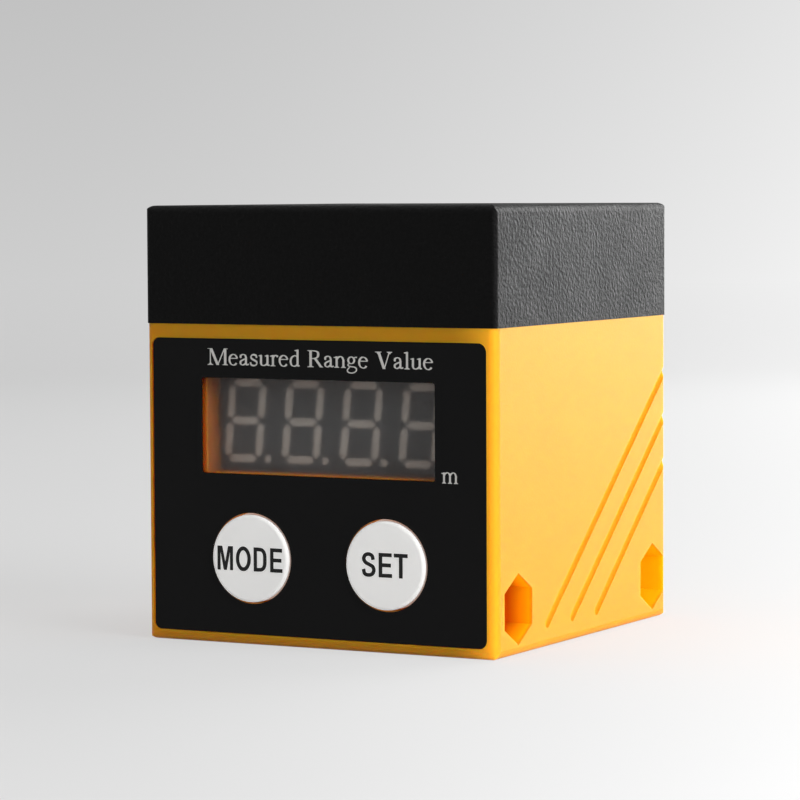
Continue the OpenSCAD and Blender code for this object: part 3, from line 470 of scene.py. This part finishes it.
def serif_glyphs():
    """Letters of the roman book face: advance width and outlines of each."""
    def stem(x, y0, y1, w=STEM):
        return box(x - w / 2, y0, x + w / 2, y1)

    top, small = ROMAN_CAP, ROMAN_SMALL
    tail = smooth([(385, 60), (415, 30), (470, 48)])
    return {
        "M": (889, [stem(135, 0, 655, HAIR), slant(448, 0, 160, top, 112), slant(448, 0, 735, top, HAIR + 8),
                    stem(765, 0, 655, CAP_STEM), foot(135, 0, 115), foot(765, 0, 110),
                    box(20, 640, 200, top), box(715, 640, 868, top)]),
        "R": (667, [stem(150, 0, 655, CAP_STEM), foot(150, 0, 128), foot(150, top, 128, -1),
                    pen(smooth([(150, 640), (300, 640), (430, 600), (465, 500), (425, 395), (300, 345),
                                (180, 342)]), 96, HAIR),
                    slant(590, 0, 330, 350, 118), box(520, 0, 662, 24)]),
        "V": (722, [slant(375, -8, 150, 655, 112), slant(380, -8, 590, 655, HAIR + 6),
                    foot(140, top, 125, -1), foot(595, top, 105, -1)]),
        "a": (444, [pen(smooth([(82, 322), (98, 400), (190, 440), (275, 410), (310, 320), (310, 200),
                                (312, 90), (345, 32), (425, 62)]), 80, HAIR, -8),
                    pen(smooth([(310, 278), (180, 225), (88, 160), (88, 70), (160, 24), (250, 55),
                                (310, 110)]), 78, HAIR, -15),
                    arc(88, 330, 40, 38, 0, 350, 14)]),
        "d": (500, [stem(358, 40, 672), flag(330, 683), pen(tail - (28, 0), 60, 44),
                    pen(smooth([(352, 370), (300, 425), (215, 428), (110, 350), (70, 210), (105, 75),
                                (195, 22), (290, 40), (352, 95)]), 80, HAIR, -10)]),
        "e": (444, [pen(arc(222, 222, 165, 212, 16, 322), 82, HAIR, -12), box(70, 262, 396, 296)]),
        "g": (470, [*ring(205, 302, 122, 130, 76, HAIR),
                    pen(smooth([(300, 380), (370, 418), (440, 418)]), 30, 48),
                    pen(smooth([(150, 190), (80, 140), (95, 80), (210, 55), (340, 38), (415, -25),
                                (390, -130), (240, -192), (90, -165), (45, -90), (90, -20), (150, 45)]),
                        50, 44, 30)]),
        "l": (258, [stem(132, 0, 672), flag(104, 683), foot(132, 0, 105)]),
        "m": (778, [stem(110, 0, 440), flag(82, small), foot(110, 0, 95), round_hand(110, 385),
                    stem(385, 0, 265), foot(385, 0, 95), round_hand(385, 660), stem(660, 0, 265),
                    foot(660, 0, 95)]),
        "n": (500, [stem(110, 0, 440), flag(82, small), foot(110, 0, 98), round_hand(110, 385),
                    stem(385, 0, 265), foot(385, 0, 98)]),
        "r": (333, [stem(110, 0, 440), flag(82, small), foot(110, 0, 105),
                    pen(smooth([(120, 320), (180, 410), (250, 428), (300, 398)]), 60, 52),
                    arc(292, 398, 42, 42, 0, 350, 14)]),
        "s": (389, [pen(smooth([(316, 318), (290, 405), (190, 440), (100, 405), (82, 325), (140, 262),
                                (240, 210), (318, 150), (306, 55), (200, 10), (90, 42), (52, 140)]),
                        46, 74, -35)]),
        "u": (500, [pen(smooth([(112, 430), (112, 250), (112, 110), (150, 38), (230, 22), (320, 55),
                                (380, 120)]), STEM, HAIR, -10),
                    flag(92, small, 80), flag(352, small, 80), stem(380, 40, 440), pen(tail, 60, 44)]),
        " ": (250, []),
    }


def bold_glyphs():
    """Letters of the narrow bold face: advance width and outlines of each."""
    heavy, bar, top = 122, 112, BOLD_CAP
    return {
        "M": (690, [np.array([(60, 0), (60, top), (236, top), (345, 245), (454, top), (630, top), (630, 0),
                              (520, 0), (520, 545), (398, 0), (292, 0), (170, 545), (170, 0)], float)]),
        "O": (640, ring(320, 358, 212, 312, heavy, bar + 4)),
        "D": (600, [pen(smooth([(118, 660), (240, 660), (370, 640), (452, 540), (468, 358), (452, 176),
                                (370, 76), (240, 56), (118, 56)]), heavy, bar), box(60, 0, 180, top)]),
        "E": (545, [box(60, 0, 180, top), box(60, 0, 505, bar), box(60, 304, 470, 304 + bar),
                    box(60, top - bar, 495, top)]),
        "S": (548, [pen(smooth([(424, 500), (388, 618), (275, 664), (160, 630), (112, 525), (170, 420),
                                (290, 362), (410, 300), (446, 190), (390, 86), (270, 52), (145, 86),
                                (98, 220)]), 118, 108)]),
        "T": (500, [box(22, top - bar, 478, top), box(189, 0, 311, top)]),
    }


def rounded(x0, y0, x1, y1, r):
    """Rectangle whose corners are quarter circles of radius r, run counter-clockwise."""
    corners = ((x1 - r, y1 - r, 0), (x0 + r, y1 - r, 90), (x0 + r, y0 + r, 180), (x1 - r, y0 + r, 270))
    return np.vstack([arc(x, y, r, r, start, start + 90, CORNER_STEPS) for x, y, start in corners])


def leftward(line):
    """The outline run so that its area, half the sum of x0 y1 - x1 y0, is positive."""
    x, y = line.T
    return line if np.sum(x * np.roll(y, -1) - np.roll(x, -1) * y) > 0 else line[::-1]


def any_outline(covering):
    """Whether at least one outline covers the triangle."""
    return len(covering) > 0


def first_outline(covering):
    """Whether only the first outline covers the triangle, so that the others cut holes in it."""
    return list(covering) == [0]


def areas(outlines, kept):
    """Points of the outlines, and the triangles between them that kept accepts by the outlines over each."""
    corners = [Vector(p) for line in outlines for p in line]
    ends = np.cumsum([0] + [len(line) for line in outlines])
    loops = [list(range(a, b)) for a, b in zip(ends, ends[1:])]
    points, _, triangles, _, _, coverings = delaunay_2d_cdt(corners, [], loops, 1, 0.001)
    faces = [face for face, covering in zip(triangles, coverings) if kept(covering)]
    return np.array([tuple(point) for point in points]), np.array(faces)


def typeset(text, glyphs, left, right, base, height, cap):
    """Flat triangles of a line of text between left and right: the outlines of each letter joined to one
    area, letters of the given height for cap thousandths, widths fitted to the line."""
    advance = np.cumsum([0] + [glyphs[c][0] for c in text])
    across = (right - left) / advance[-1]
    points, faces = [], []
    for c, start in zip(text, advance):
        outlines = [leftward(line) for line in glyphs[c][1]]
        if not outlines:
            continue
        corners, inked = areas(outlines, any_outline)
        faces.append(inked + sum(len(p) for p in points))
        points.append(corners * (across, height / cap) + (left + start * across, base))
    return np.vstack(points), np.vstack(faces)


def linked(name, data):
    """New object around its data, in the scene."""
    piece = bpy.data.objects.new(name, data)
    bpy.context.scene.collection.objects.link(piece)
    return piece


def flat_piece(name, flat, y, thickness):
    """Flat piece whose back lies in the plane y: front and back triangles, and a wall along every edge that
    no other triangle runs the other way, told by one number for each edge and way."""
    points, faces = flat
    count = len(points)
    front, back = (np.insert(points, 1, depth, axis=1) for depth in (y - thickness, y))
    edges = faces[:, [0, 1, 1, 2, 2, 0]].reshape(-1, 2)
    rim = edges[~np.isin(edges @ (count, 1), edges[:, ::-1] @ (count, 1))]
    walls = np.stack([rim[:, 0], rim[:, 0] + count, rim[:, 1] + count, rim[:, 1]], axis=1)
    mesh = bpy.data.meshes.new(name)
    mesh.from_pydata(np.vstack([front, back]).tolist(), [],
                     [*faces.tolist(), *(faces[:, ::-1] + count).tolist(), *walls.tolist()])
    return linked(name, mesh)


def fitted(name, flat, y, thickness, finish, body):
    """A flat piece with its finish, carried by a body."""
    piece = flat_piece(name, flat, y, thickness)
    piece.data.materials.append(finish)
    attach(piece, body)
    return piece


def digit_outlines(page):
    """Bars and point of one digit about its middle, in millimetres: each bar is a hexagon with pointed ends,
    and every outline leans to the right by its height times the tangent of the lean."""
    h = page.stroke / 2 / MM
    across, up = page.digit_across / MM, page.digit_height / 2 / MM

    def bar(x, y, length, upright):
        e = length / 2 - page.stroke_gap / 2 / MM
        points = np.array([(-e, 0), (h - e, -h), (e - h, -h), (e, 0), (e - h, h), (h - e, h)])
        return (points @ [[0, 1], [-1, 0]] if upright else points) + (x, y)

    lines = [bar(0, y, across, False) for y in (-up, 0, up)]
    lines += [bar(sx * across / 2, sy * up / 2, up, True) for sx in (-1, 1) for sy in (-1, 1)]
    lines = [line + line[:, 1:] * (tan(page.digit_lean), 0) for line in lines]
    return lines + [disc(across / 2 + page.point_gap / MM, -up, h, 24)]


# Studio

PICTURE_WIDTH = 36.0


def aimed(place, target):
    """Matrix at place whose -Z axis points at the target, upright."""
    away = (Vector(place) - Vector(target)).normalized()
    return Matrix.Translation(place) @ away.to_track_quat("Z", "Y").to_matrix().to_4x4()


def lamp(name, place, target, width, height, radiance):
    """Soft rectangular lamp, hidden from the camera. Its energy is four times its area times its radiance."""
    light = bpy.data.lights.new(name, "AREA")
    light.shape = "RECTANGLE"
    light.size, light.size_y = width, height
    light.energy = 4.0 * width * height * radiance
    piece = linked(name, light)
    piece.matrix_world = aimed(place, target)
    piece.visible_camera = False


def swept_floor(name, near, far, cove, top, half, heading):
    """Floor that turns up into a wall: the profile runs level from near to far, up a quarter circle of
    radius cove and on to the top, and is carried sideways from -half to half, turned by the heading."""
    turn = np.linspace(0, pi / 2, 33)
    along = np.concatenate([np.linspace(near, far, 12)[:-1], far + cove * np.sin(turn), [far + cove]])
    rise = np.concatenate([np.zeros(11), cove * (1 - np.cos(turn)), [top]])
    side = np.linspace(-half, half, 9)
    a, s = np.meshgrid(along, side, indexing="ij")
    z = np.broadcast_to(rise[:, None], a.shape)
    x = s * cos(heading) - a * sin(heading)
    y = s * sin(heading) + a * cos(heading)
    rows, columns = a.shape
    first = (np.arange(rows - 1)[:, None] * columns + np.arange(columns - 1)).ravel()
    quads = np.stack([first, first + 1, first + columns + 1, first + columns], axis=1)
    mesh = bpy.data.meshes.new(name)
    mesh.from_pydata(np.stack([x, y, z], axis=-1).reshape(-1, 3).tolist(), [], quads.tolist())
    mesh.polygons.foreach_set("use_smooth", np.ones(len(quads), bool))
    return linked(name, mesh)


def studio_paper(stage):
    """Pale paper that takes light and shadow, and shows an even tone too where it is seen: more of it on the
    wall. The tone runs from left to right and from top to bottom of the view, by the distances across, along
    and up from the camera's place divided by the distance along."""
    f = material("studio_paper")
    fibre = f.noise(2.0, 3.0)
    paper = f.add("ShaderNodeBsdfDiffuse", {}, {
        "Color": f.tint(fibre, darker(stage.floor_colour, 0.99), stage.floor_colour)})
    place = tuple(stage.camera_place)
    view = PICTURE_WIDTH / stage.lens
    along = f.along((-sin(stage.yaw), cos(stage.yaw), 0.0), place)
    across = f.along((cos(stage.yaw), sin(stage.yaw), 0.0), place) / along
    up = f.along((0.0, 0.0, 1.0), place) / along + stage.pitch
    right = (across * (1.0 / view) + 0.5).limited() ** 1.6
    down = (0.5 - up * (1.0 / view)).limited()
    level = f.tint(right, stage.wall_left, stage.wall_right)
    shaded = f.add("ShaderNodeVectorMath", {"operation": "SCALE"}, {0: level, "Scale": 0.77 + down * 0.3})
    tone = f.add("ShaderNodeEmission", {}, {"Color": shaded})
    factor = f.seen() * (f.along((0.0, 0.0, 1.0)) * 0.012 + stage.floor_tone).limited()
    mixed = f.add("ShaderNodeMixShader", {}, {0: factor, 1: paper, 2: tone})
    f.add("ShaderNodeOutputMaterial", {}, {"Surface": mixed})
    return f.owner


# What a user would change


def length_setting(name, description, millimetres):
    """Setting of a length, given in millimetres."""
    return FloatProperty(
        name=name, description=description, unit="LENGTH", default=millimetres * MM, precision=6)


def colour_setting(name, description, colour):
    """Setting of a colour, given as linear red, green and blue."""
    return FloatVectorProperty(name=name, description=description, subtype="COLOR", default=colour)


class FinishSettings(bpy.types.PropertyGroup):
    """Colours and grain of the sensor's surfaces."""

    housing_colour: colour_setting("Housing", "Colour of the moulded tub", (0.84, 0.31, 0.013))
    housing_grain: length_setting("Housing grain", "Size of the tub's matt grain", 0.3)
    housing_glow: FloatProperty(
        name="Housing glow", description="Share of light that wanders inside the tub's plastic", default=0.7)
    housing_depth: length_setting(
        "Housing depth", "Distance that red light wanders in the tub's plastic", 4.0)
    # Painted glow in the grooves, standing in for light that wanders in the plastic
    groove_painted_glow: colour_setting("Grooves", "Colour in the side's grooves", (0.86, 0.39, 0.006))
    # Painted glow at the pockets' mouths and painted shade deep in them
    pocket_mouth_painted_glow: colour_setting("Pockets", "Colour at the mouth of the nut pockets", (0.95, 0.48, 0.004))
    pocket_depth_painted_shade: colour_setting(
        "Pocket depths", "Colour deep in the nut pockets", (0.72, 0.13, 0.001))
    seam_height: length_setting("Seam height", "Height of the seam between tub and head", 36.5)
    pocket_top: length_setting("Pocket top", "Height below which the nut pockets lie", 10.5)
    pocket_inner: length_setting(
        "Pocket inner side", "Distance from the middle beyond which the nut pockets lie", 13.0)
    # Painted light deep in the rear pockets
    rear_pocket_painted_light: colour_setting(
        "Rear pocket depths", "Colour deep in the rear nut pockets", (0.92, 0.4, 0.004))
    # Painted glows, given out as emission, at the front's lit corner and in the pockets
    corner_painted_glow: colour_setting(
        "Corner glow", "Light that comes through the plastic at the front's lit corner", (0.55, 0.26, 0.012))
    pocket_painted_glow: colour_setting(
        "Pocket glow", "Light that comes through the plastic into the nut pockets", (0.3, 0.14, 0.0))
    rear_pocket_painted_glow: colour_setting(
        "Rear pocket glow", "Light that comes through the plastic into the rear nut pockets", (0.4, 0.1, 0.0))
    # Painted shade on the walls behind the film's opening
    shroud_painted_shade: colour_setting(
        "Shroud", "Colour of the walls behind the film's opening", (0.43, 0.138, 0.036))
    cap_colour: colour_setting("Head", "Colour of the optical head", (0.0045, 0.0045, 0.0045))
    cap_grain: length_setting("Head grain", "Size of the head's eroded grain", 0.5)
    film_colour: colour_setting("Film", "Colour of the front film", (0.0048, 0.0048, 0.005))
    pane_colour: colour_setting("Pane", "Tint of the display pane", (0.9, 0.89, 0.88))
    display_colour: colour_setting("Display", "Colour of the digit module's face", (0.07, 0.072, 0.075))
    segment_colour: colour_setting("Segments", "Colour of the unlit segments", (0.38, 0.355, 0.325))
    button_colour: colour_setting("Buttons", "Colour of the button caps", (0.95, 0.945, 0.93))
    # Painted glow of the button caps, given out as emission
    button_painted_glow: FloatProperty(
        name="Button glow", description="Light scattered inside the milky caps", default=0.18)
    film_ink: colour_setting("Film ink", "Colour of the print on the film", (0.75, 0.74, 0.71))
    button_ink: colour_setting("Button ink", "Colour of the print on the caps", (0.004, 0.004, 0.004))


class LegendSettings(bpy.types.PropertyGroup):
    """Places and sizes of the printed legends."""

    title_left: length_setting("Title left", "Left end of the title line", -14.35)
    title_right: length_setting("Title right", "Right end of the title line", 14.8)
    title_base: length_setting("Title height", "Height of the title's base line", 31.85)
    title_cap: length_setting("Title capitals", "Height of the title's capitals", 1.9)
    unit_left: length_setting("Unit left", "Left end of the unit", 15.72)
    unit_right: length_setting("Unit right", "Right end of the unit", 17.8)
    unit_base: length_setting("Unit height", "Height of the unit's base line", 19.35)
    unit_size: length_setting("Unit size", "Height of the unit's small letter", 1.24)
    mode_width: length_setting("Mode width", "Width of the left button's legend", 8.9)
    mode_base: length_setting("Mode height", "Height of the left button's base line", 8.5)
    set_width: length_setting("Set width", "Width of the right button's legend", 6.05)
    set_base: length_setting("Set height", "Height of the right button's base line", 8.62)
    key_cap: length_setting("Button capitals", "Height of the letters on the buttons", 2.74)
    ink_thickness: length_setting("Ink thickness", "Thickness of the printed ink", 0.02)


class DisplaySettings(bpy.types.PropertyGroup):
    """Outline of the film and its opening, and the digits behind it."""

    film_left: length_setting("Film left", "Left edge of the film", -21.6)
    film_corner: length_setting("Film corner", "Corner radius of the film", 0.8)
    opening_corner: length_setting("Opening corner", "Corner radius of the film's opening", 0.3)
    opening_left: length_setting("Opening left", "Left edge of the film's opening", -15.2)
    opening_right: length_setting("Opening right", "Right edge of the film's opening", 14.88)
    opening_low: length_setting("Opening low", "Lower edge of the film's opening", 19.5)
    opening_top: length_setting("Opening top", "Upper edge of the film's opening", 30.4)
    key_hole: length_setting("Button holes", "Diameter of the film's holes for the buttons", 10.4)
    key_height: length_setting("Button height", "Height of the buttons' middle above the base", 9.9)
    digit_pitch: length_setting("Digit pitch", "Distance from one digit to the next", 7.56)
    digit_across: length_setting("Digit width", "Distance between the upright bars of a digit", 4.05)
    digit_height: length_setting("Digit height", "Distance between the top and bottom bars of a digit", 8.68)
    digit_shift: length_setting("Digit shift", "Sideways offset of the digits' middle", -0.14)
    digit_middle: length_setting("Digit middle", "Height of the digits' middle above the base", 25.34)
    digit_lean: FloatProperty(
        name="Digit lean", description="Lean of the digits from upright", unit="ROTATION",
        default=radians(5.0))
    stroke: length_setting("Stroke", "Width of a bar of the digits", 0.88)
    relief: length_setting("Relief", "Height of the bars above the module's face", 0.03)
    stroke_gap: length_setting("Stroke gap", "Gap between the ends of neighbouring bars", 0.42)
    point_gap: length_setting("Point distance", "Distance of the point from the right bars' middle", 0.85)


class StageSettings(bpy.types.PropertyGroup):
    """Camera, lamps and paper of the studio."""

    camera_place: FloatVectorProperty(
        name="Camera", description="Place of the camera", subtype="TRANSLATION", unit="LENGTH",
        default=(0.1896, -0.3581, 0.0515))
    yaw: FloatProperty(name="Yaw", description="Heading of the camera", unit="ROTATION", default=0.49059)
    pitch: FloatProperty(
        name="Pitch", description="Downward look of the camera", unit="ROTATION", default=0.06062)
    roll: FloatProperty(name="Roll", description="Tilt of the picture", unit="ROTATION", default=-0.0045)
    lens: FloatProperty(name="Lens", description="Focal length for a 36 mm picture", default=154.7)
    floor_colour: colour_setting("Floor", "Colour of the floor paper", (0.71, 0.71, 0.71))
    wall_left: colour_setting("Left tone", "Tone of the paper at the left of the view", (0.7, 0.7, 0.7))
    wall_right: colour_setting("Right tone", "Tone of the paper at the right of the view", (1.0, 1.0, 1.0))
    floor_tone: FloatProperty(
        name="Floor tone", description="Share of the even tone seen on the floor", default=0.72)
    side_light: FloatProperty(
        name="Side lamp", description="Radiance of the lamp beside the object", default=4.8)
    sheen_light: FloatProperty(
        name="Sheen lamp", description="Radiance of the lamp behind the right side", default=6.9)
    front_light: FloatProperty(
        name="Front lamp", description="Radiance of the lamp above the front", default=0.2)
    left_light: FloatProperty(
        name="Left lamp", description="Radiance of the lamp at the left", default=0.6)
    top_light: FloatProperty(name="Top lamp", description="Radiance of the lamp overhead", default=1.3)
    ambient: FloatProperty(name="Ambient", description="Brightness of the surrounding studio", default=0.085)
    surround: FloatProperty(
        name="Surround", description="Tone of the studio beyond the paper, as it is seen", default=0.5)


# Operators


class SENSOR_OT_housing(bpy.types.Operator):
    """Gives the moulded tub its satin yellow plastic"""

    bl_idname = "sensor.housing"
    bl_label = "Housing"

    def execute(self, context):
        paint(moulded_yellow(context.scene.sensor_finish), "housing")
        return {"FINISHED"}


class SENSOR_OT_head(bpy.types.Operator):
    """Gives the optical head its grained black plastic, its gasket rubber and its screws plated steel"""

    bl_idname = "sensor.head"
    bl_label = "Optical head"

    def execute(self, context):
        paint(grained_black(context.scene.sensor_finish), "head_cap")
        paint(rubber("gasket_rubber"), "cap_gasket")
        paint(plated_steel(), "cap_screws", "display_screws", "holder_screws", "board_screws", "display_pins")
        return {"FINISHED"}


class SENSOR_OT_film(bpy.types.Operator):
    """Makes the front film with its opening and button holes, and gives it and the pane their finishes"""

    bl_idname = "sensor.film"
    bl_label = "Film and pane"

    def execute(self, context):
        look, page = context.scene.sensor_finish, context.scene.sensor_display
        low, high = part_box("front_label")
        keys = [sum(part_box(node)[i][0] for i in (0, 1)) / 2 for node in ("mode_button", "set_button")]
        r = page.key_hole / 2 / MM
        outlines = [
            rounded(page.film_left / MM, low[2] / MM, high[0] / MM, high[2] / MM, page.film_corner / MM),
            rounded(page.opening_left / MM, page.opening_low / MM, page.opening_right / MM,
                    page.opening_top / MM, page.opening_corner / MM),
            *(disc(x / MM, page.key_height / MM, r, 90) for x in keys)]
        points, faces = areas(outlines, first_outline)
        film = fitted("film", (points * MM, faces), high[1], high[1] - low[1], printed_film(look),
                      "sensor")
        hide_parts("front_label")
        paint(frosted_pane(look), "display_window")
        return {"FINISHED"}


class SENSOR_OT_digits(bpy.types.Operator):
    """Makes the digit module's block and the bars and points of its four digits"""

    bl_idname = "sensor.digits"
    bl_label = "Digits"

    def execute(self, context):
        look, page = context.scene.sensor_finish, context.scene.sensor_display
        low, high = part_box("display_module")
        outline = [box(low[0] / MM, low[2] / MM, high[0] / MM, high[2] / MM)]
        points, faces = areas(outline, any_outline)
        block = fitted("module_block", (points * MM, faces), high[1], high[1] - low[1], display_face(look),
                       "sensor")
        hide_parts("display_module")
        one = digit_outlines(page)
        middle = np.array([page.digit_shift, page.digit_middle]) / MM
        places = [(i - 1.5) * page.digit_pitch / MM for i in range(4)]
        points, faces = areas([line + middle + (x, 0) for x in places for line in one], any_outline)
        bars = fitted("digit_bars", (points * MM, faces), low[1], page.relief, segment_resin(look),
                      "sensor")
        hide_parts("digit_segments")
        return {"FINISHED"}


class SENSOR_OT_buttons(bpy.types.Operator):
    """Gives the button caps satin white and their switches black and grey mouldings"""

    bl_idname = "sensor.buttons"
    bl_label = "Buttons"

    def execute(self, context):
        paint(button_white(context.scene.sensor_finish), "mode_button", "set_button")
        paint(small_moulding("switch_black", (0.02, 0.02, 0.021)), "mode_switch", "set_switch")
        paint(small_moulding("plunger_grey", (0.12, 0.12, 0.12)), "mode_plunger", "set_plunger")
        return {"FINISHED"}


class SENSOR_OT_boards(bpy.types.Operator):
    """Gives the circuit boards green lacquer and what they carry its plastics and contacts"""

    bl_idname = "sensor.boards"
    bl_label = "Circuit boards"

    def execute(self, context):
        paint(board_lacquer(), "display_board", "main_board")
        paint(small_moulding("chip_black", (0.016, 0.016, 0.017), 0.06), "main_chips")
        paint(small_moulding("header_black", (0.025, 0.025, 0.025)), "header_strip")
        paint(small_moulding("socket_ivory", (0.72, 0.66, 0.54)), "cable_socket")
        paint(turned_brass("contact_gilt", (0.85, 0.62, 0.25)), "header_pins", "socket_pins")
        return {"FINISHED"}


class SENSOR_OT_optics(bpy.types.Operator):
    """Gives the lenses, cover glasses, laser and holder their glass, brass and matt black"""

    bl_idname = "sensor.optics"
    bl_label = "Optics"

    def execute(self, context):
        paint(coated_glass("cover_glass"), "receiver_window", "emitter_window")
        paint(coated_glass("lens_glass", (0.92, 0.94, 0.97)), "receiver_lens", "collimator_lens")
        paint(small_moulding("holder_black", (0.012, 0.012, 0.012), 0.2), "optics_holder", "lens_ring")
        paint(turned_brass("barrel_brass", (0.78, 0.56, 0.24)), "laser_barrel")
        paint(turned_brass("can_gilt", (0.86, 0.66, 0.3)), "laser_diode", "photodiode")
        return {"FINISHED"}


class SENSOR_OT_gland(bpy.types.Operator):
    """Gives the cable gland black nylon and its seals rubber"""

    bl_idname = "sensor.gland"
    bl_label = "Cable gland"

    def execute(self, context):
        paint(ribbed_nylon(context.scene.sensor_finish), "gland_body", "gland_nut", "gland_locknut")
        paint(rubber("gland_rubber"), "gland_seal", "gland_washer")
        return {"FINISHED"}


class SENSOR_OT_film_legends(bpy.types.Operator):
    """Prints the title line and the unit on the front film"""

    bl_idname = "sensor.film_legends"
    bl_label = "Film legends"

    def execute(self, context):
        page = context.scene.sensor_legends
        ink = printed_ink("film_ink", tuple(context.scene.sensor_finish.film_ink))
        letters = serif_glyphs()
        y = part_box("front_label")[0][1]
        title = typeset("Measured Range Value", letters, page.title_left, page.title_right, page.title_base,
                        page.title_cap, ROMAN_CAP)
        fitted("title_legend", title, y, page.ink_thickness, ink, "sensor")
        unit = typeset("m", letters, page.unit_left, page.unit_right, page.unit_base, page.unit_size,
                       ROMAN_SMALL)
        fitted("unit_legend", unit, y, page.ink_thickness, ink, "sensor")
        return {"FINISHED"}


class SENSOR_OT_button_legends(bpy.types.Operator):
    """Prints the function of each button on its cap"""

    bl_idname = "sensor.button_legends"
    bl_label = "Button legends"

    def execute(self, context):
        page = context.scene.sensor_legends
        ink = printed_ink("button_ink", tuple(context.scene.sensor_finish.button_ink))
        letters = bold_glyphs()
        keys = (("mode", page.mode_width, page.mode_base), ("set", page.set_width, page.set_base))
        for key, width, base in keys:
            low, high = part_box(f"{key}_button")
            middle = (low[0] + high[0]) / 2
            flat = typeset(key.upper(), letters, middle - width / 2, middle + width / 2, base, page.key_cap,
                           BOLD_CAP)
            fitted(f"{key}_legend", flat, low[1], page.ink_thickness, ink, f"{key}_key")
        return {"FINISHED"}


class SENSOR_OT_stage(bpy.types.Operator):
    """Sets up the paper, the lamps and the camera"""

    bl_idname = "sensor.stage"
    bl_label = "Studio"

    def execute(self, context):
        scene = context.scene
        stage = scene.sensor_stage
        paper = swept_floor(
            "studio_floor", near=-0.16, far=0.55, cove=0.3, top=1.6, half=1.6, heading=stage.yaw)
        paper.data.materials.append(studio_paper(stage))
        middle = (0.0, 0.0, 0.025)
        lamp("side_lamp", (0.6, -0.09, 0.25), middle, 0.5, 0.5, stage.side_light)
        lamp("sheen_lamp", (0.2, 0.55, 0.06), middle, 0.5, 0.5, stage.sheen_light)
        lamp("front_lamp", (-0.15, -0.5, 0.45), middle, 0.5, 0.3, stage.front_light)
        lamp("left_lamp", (-0.6, -0.15, 0.2), middle, 0.4, 0.4, stage.left_light)
        lamp("top_lamp", (0.0, 0.0, 0.9), middle, 0.8, 0.8, stage.top_light)
        world = bpy.data.worlds.new("studio")
        scene.world = world
        w = Finish(world)
        seen = w.seen() * (stage.surround - stage.ambient) + stage.ambient
        glow = w.add("ShaderNodeBackground", {}, {"Color": (1.0, 1.0, 1.0), "Strength": seen})
        w.add("ShaderNodeOutputWorld", {}, {"Surface": glow})
        self.camera(scene, stage)
        scene.view_settings.view_transform = "Standard"
        return {"FINISHED"}

    def camera(self, scene, stage):
        """Camera at its place: heading, downward look and then the tilt of the picture."""
        yaw, pitch, roll = stage.yaw, stage.pitch, stage.roll
        ahead = Vector((-sin(yaw) * cos(pitch), cos(yaw) * cos(pitch), -sin(pitch)))
        right = Vector((cos(yaw), sin(yaw), 0.0))
        up = right.cross(ahead)
        right, up = right * cos(roll) + up * sin(roll), up * cos(roll) - right * sin(roll)
        axes = Matrix((right, up, -ahead)).transposed().to_4x4()
        camera = linked("camera", bpy.data.cameras.new("camera"))
        camera.data.sensor_width = PICTURE_WIDTH
        camera.data.lens = stage.lens
        camera.data.clip_start = 0.01
        camera.matrix_world = Matrix.Translation(stage.camera_place) @ axes
        scene.camera = camera


OPERATORS = (
    SENSOR_OT_housing, SENSOR_OT_head, SENSOR_OT_film, SENSOR_OT_digits, SENSOR_OT_buttons, SENSOR_OT_boards,
    SENSOR_OT_optics, SENSOR_OT_gland, SENSOR_OT_film_legends, SENSOR_OT_button_legends, SENSOR_OT_stage,
)


class SENSOR_PT_panel(bpy.types.Panel):
    """Sidebar panel with the settings and the steps that build the look"""

    bl_idname = "SENSOR_PT_panel"
    bl_label = "Laser distance sensor"
    bl_space_type = "VIEW_3D"
    bl_region_type = "UI"
    bl_category = "Sensor"

    def draw(self, context):
        for group in SETTINGS:
            settings = getattr(context.scene, group)
            column = self.layout.column()
            for name in settings.__annotations__:
                column.prop(settings, name)
        for operator in OPERATORS:
            self.layout.operator(operator.bl_idname)


SETTINGS = {
    "sensor_finish": FinishSettings, "sensor_legends": LegendSettings, "sensor_display": DisplaySettings,
    "sensor_stage": StageSettings,
}


def register():
    """Makes the settings, operators and panel known, and gives each scene its settings."""
    for kind in (*SETTINGS.values(), *OPERATORS, SENSOR_PT_panel):
        bpy.utils.register_class(kind)
    for name, kind in SETTINGS.items():
        setattr(bpy.types.Scene, name, PointerProperty(type=kind))


def unregister():
    """Takes back what register did, in the opposite order."""
    for name in SETTINGS:
        delattr(bpy.types.Scene, name)
    for kind in reversed((*SETTINGS.values(), *OPERATORS, SENSOR_PT_panel)):
        bpy.utils.unregister_class(kind)


def main():
    """Runs every step in its order."""
    register()
    for operator in OPERATORS:
        area, name = operator.bl_idname.split(".")
        getattr(getattr(bpy.ops, area), name)()
    bpy.context.view_layer.update()


if __name__ == "__main__":
    main()
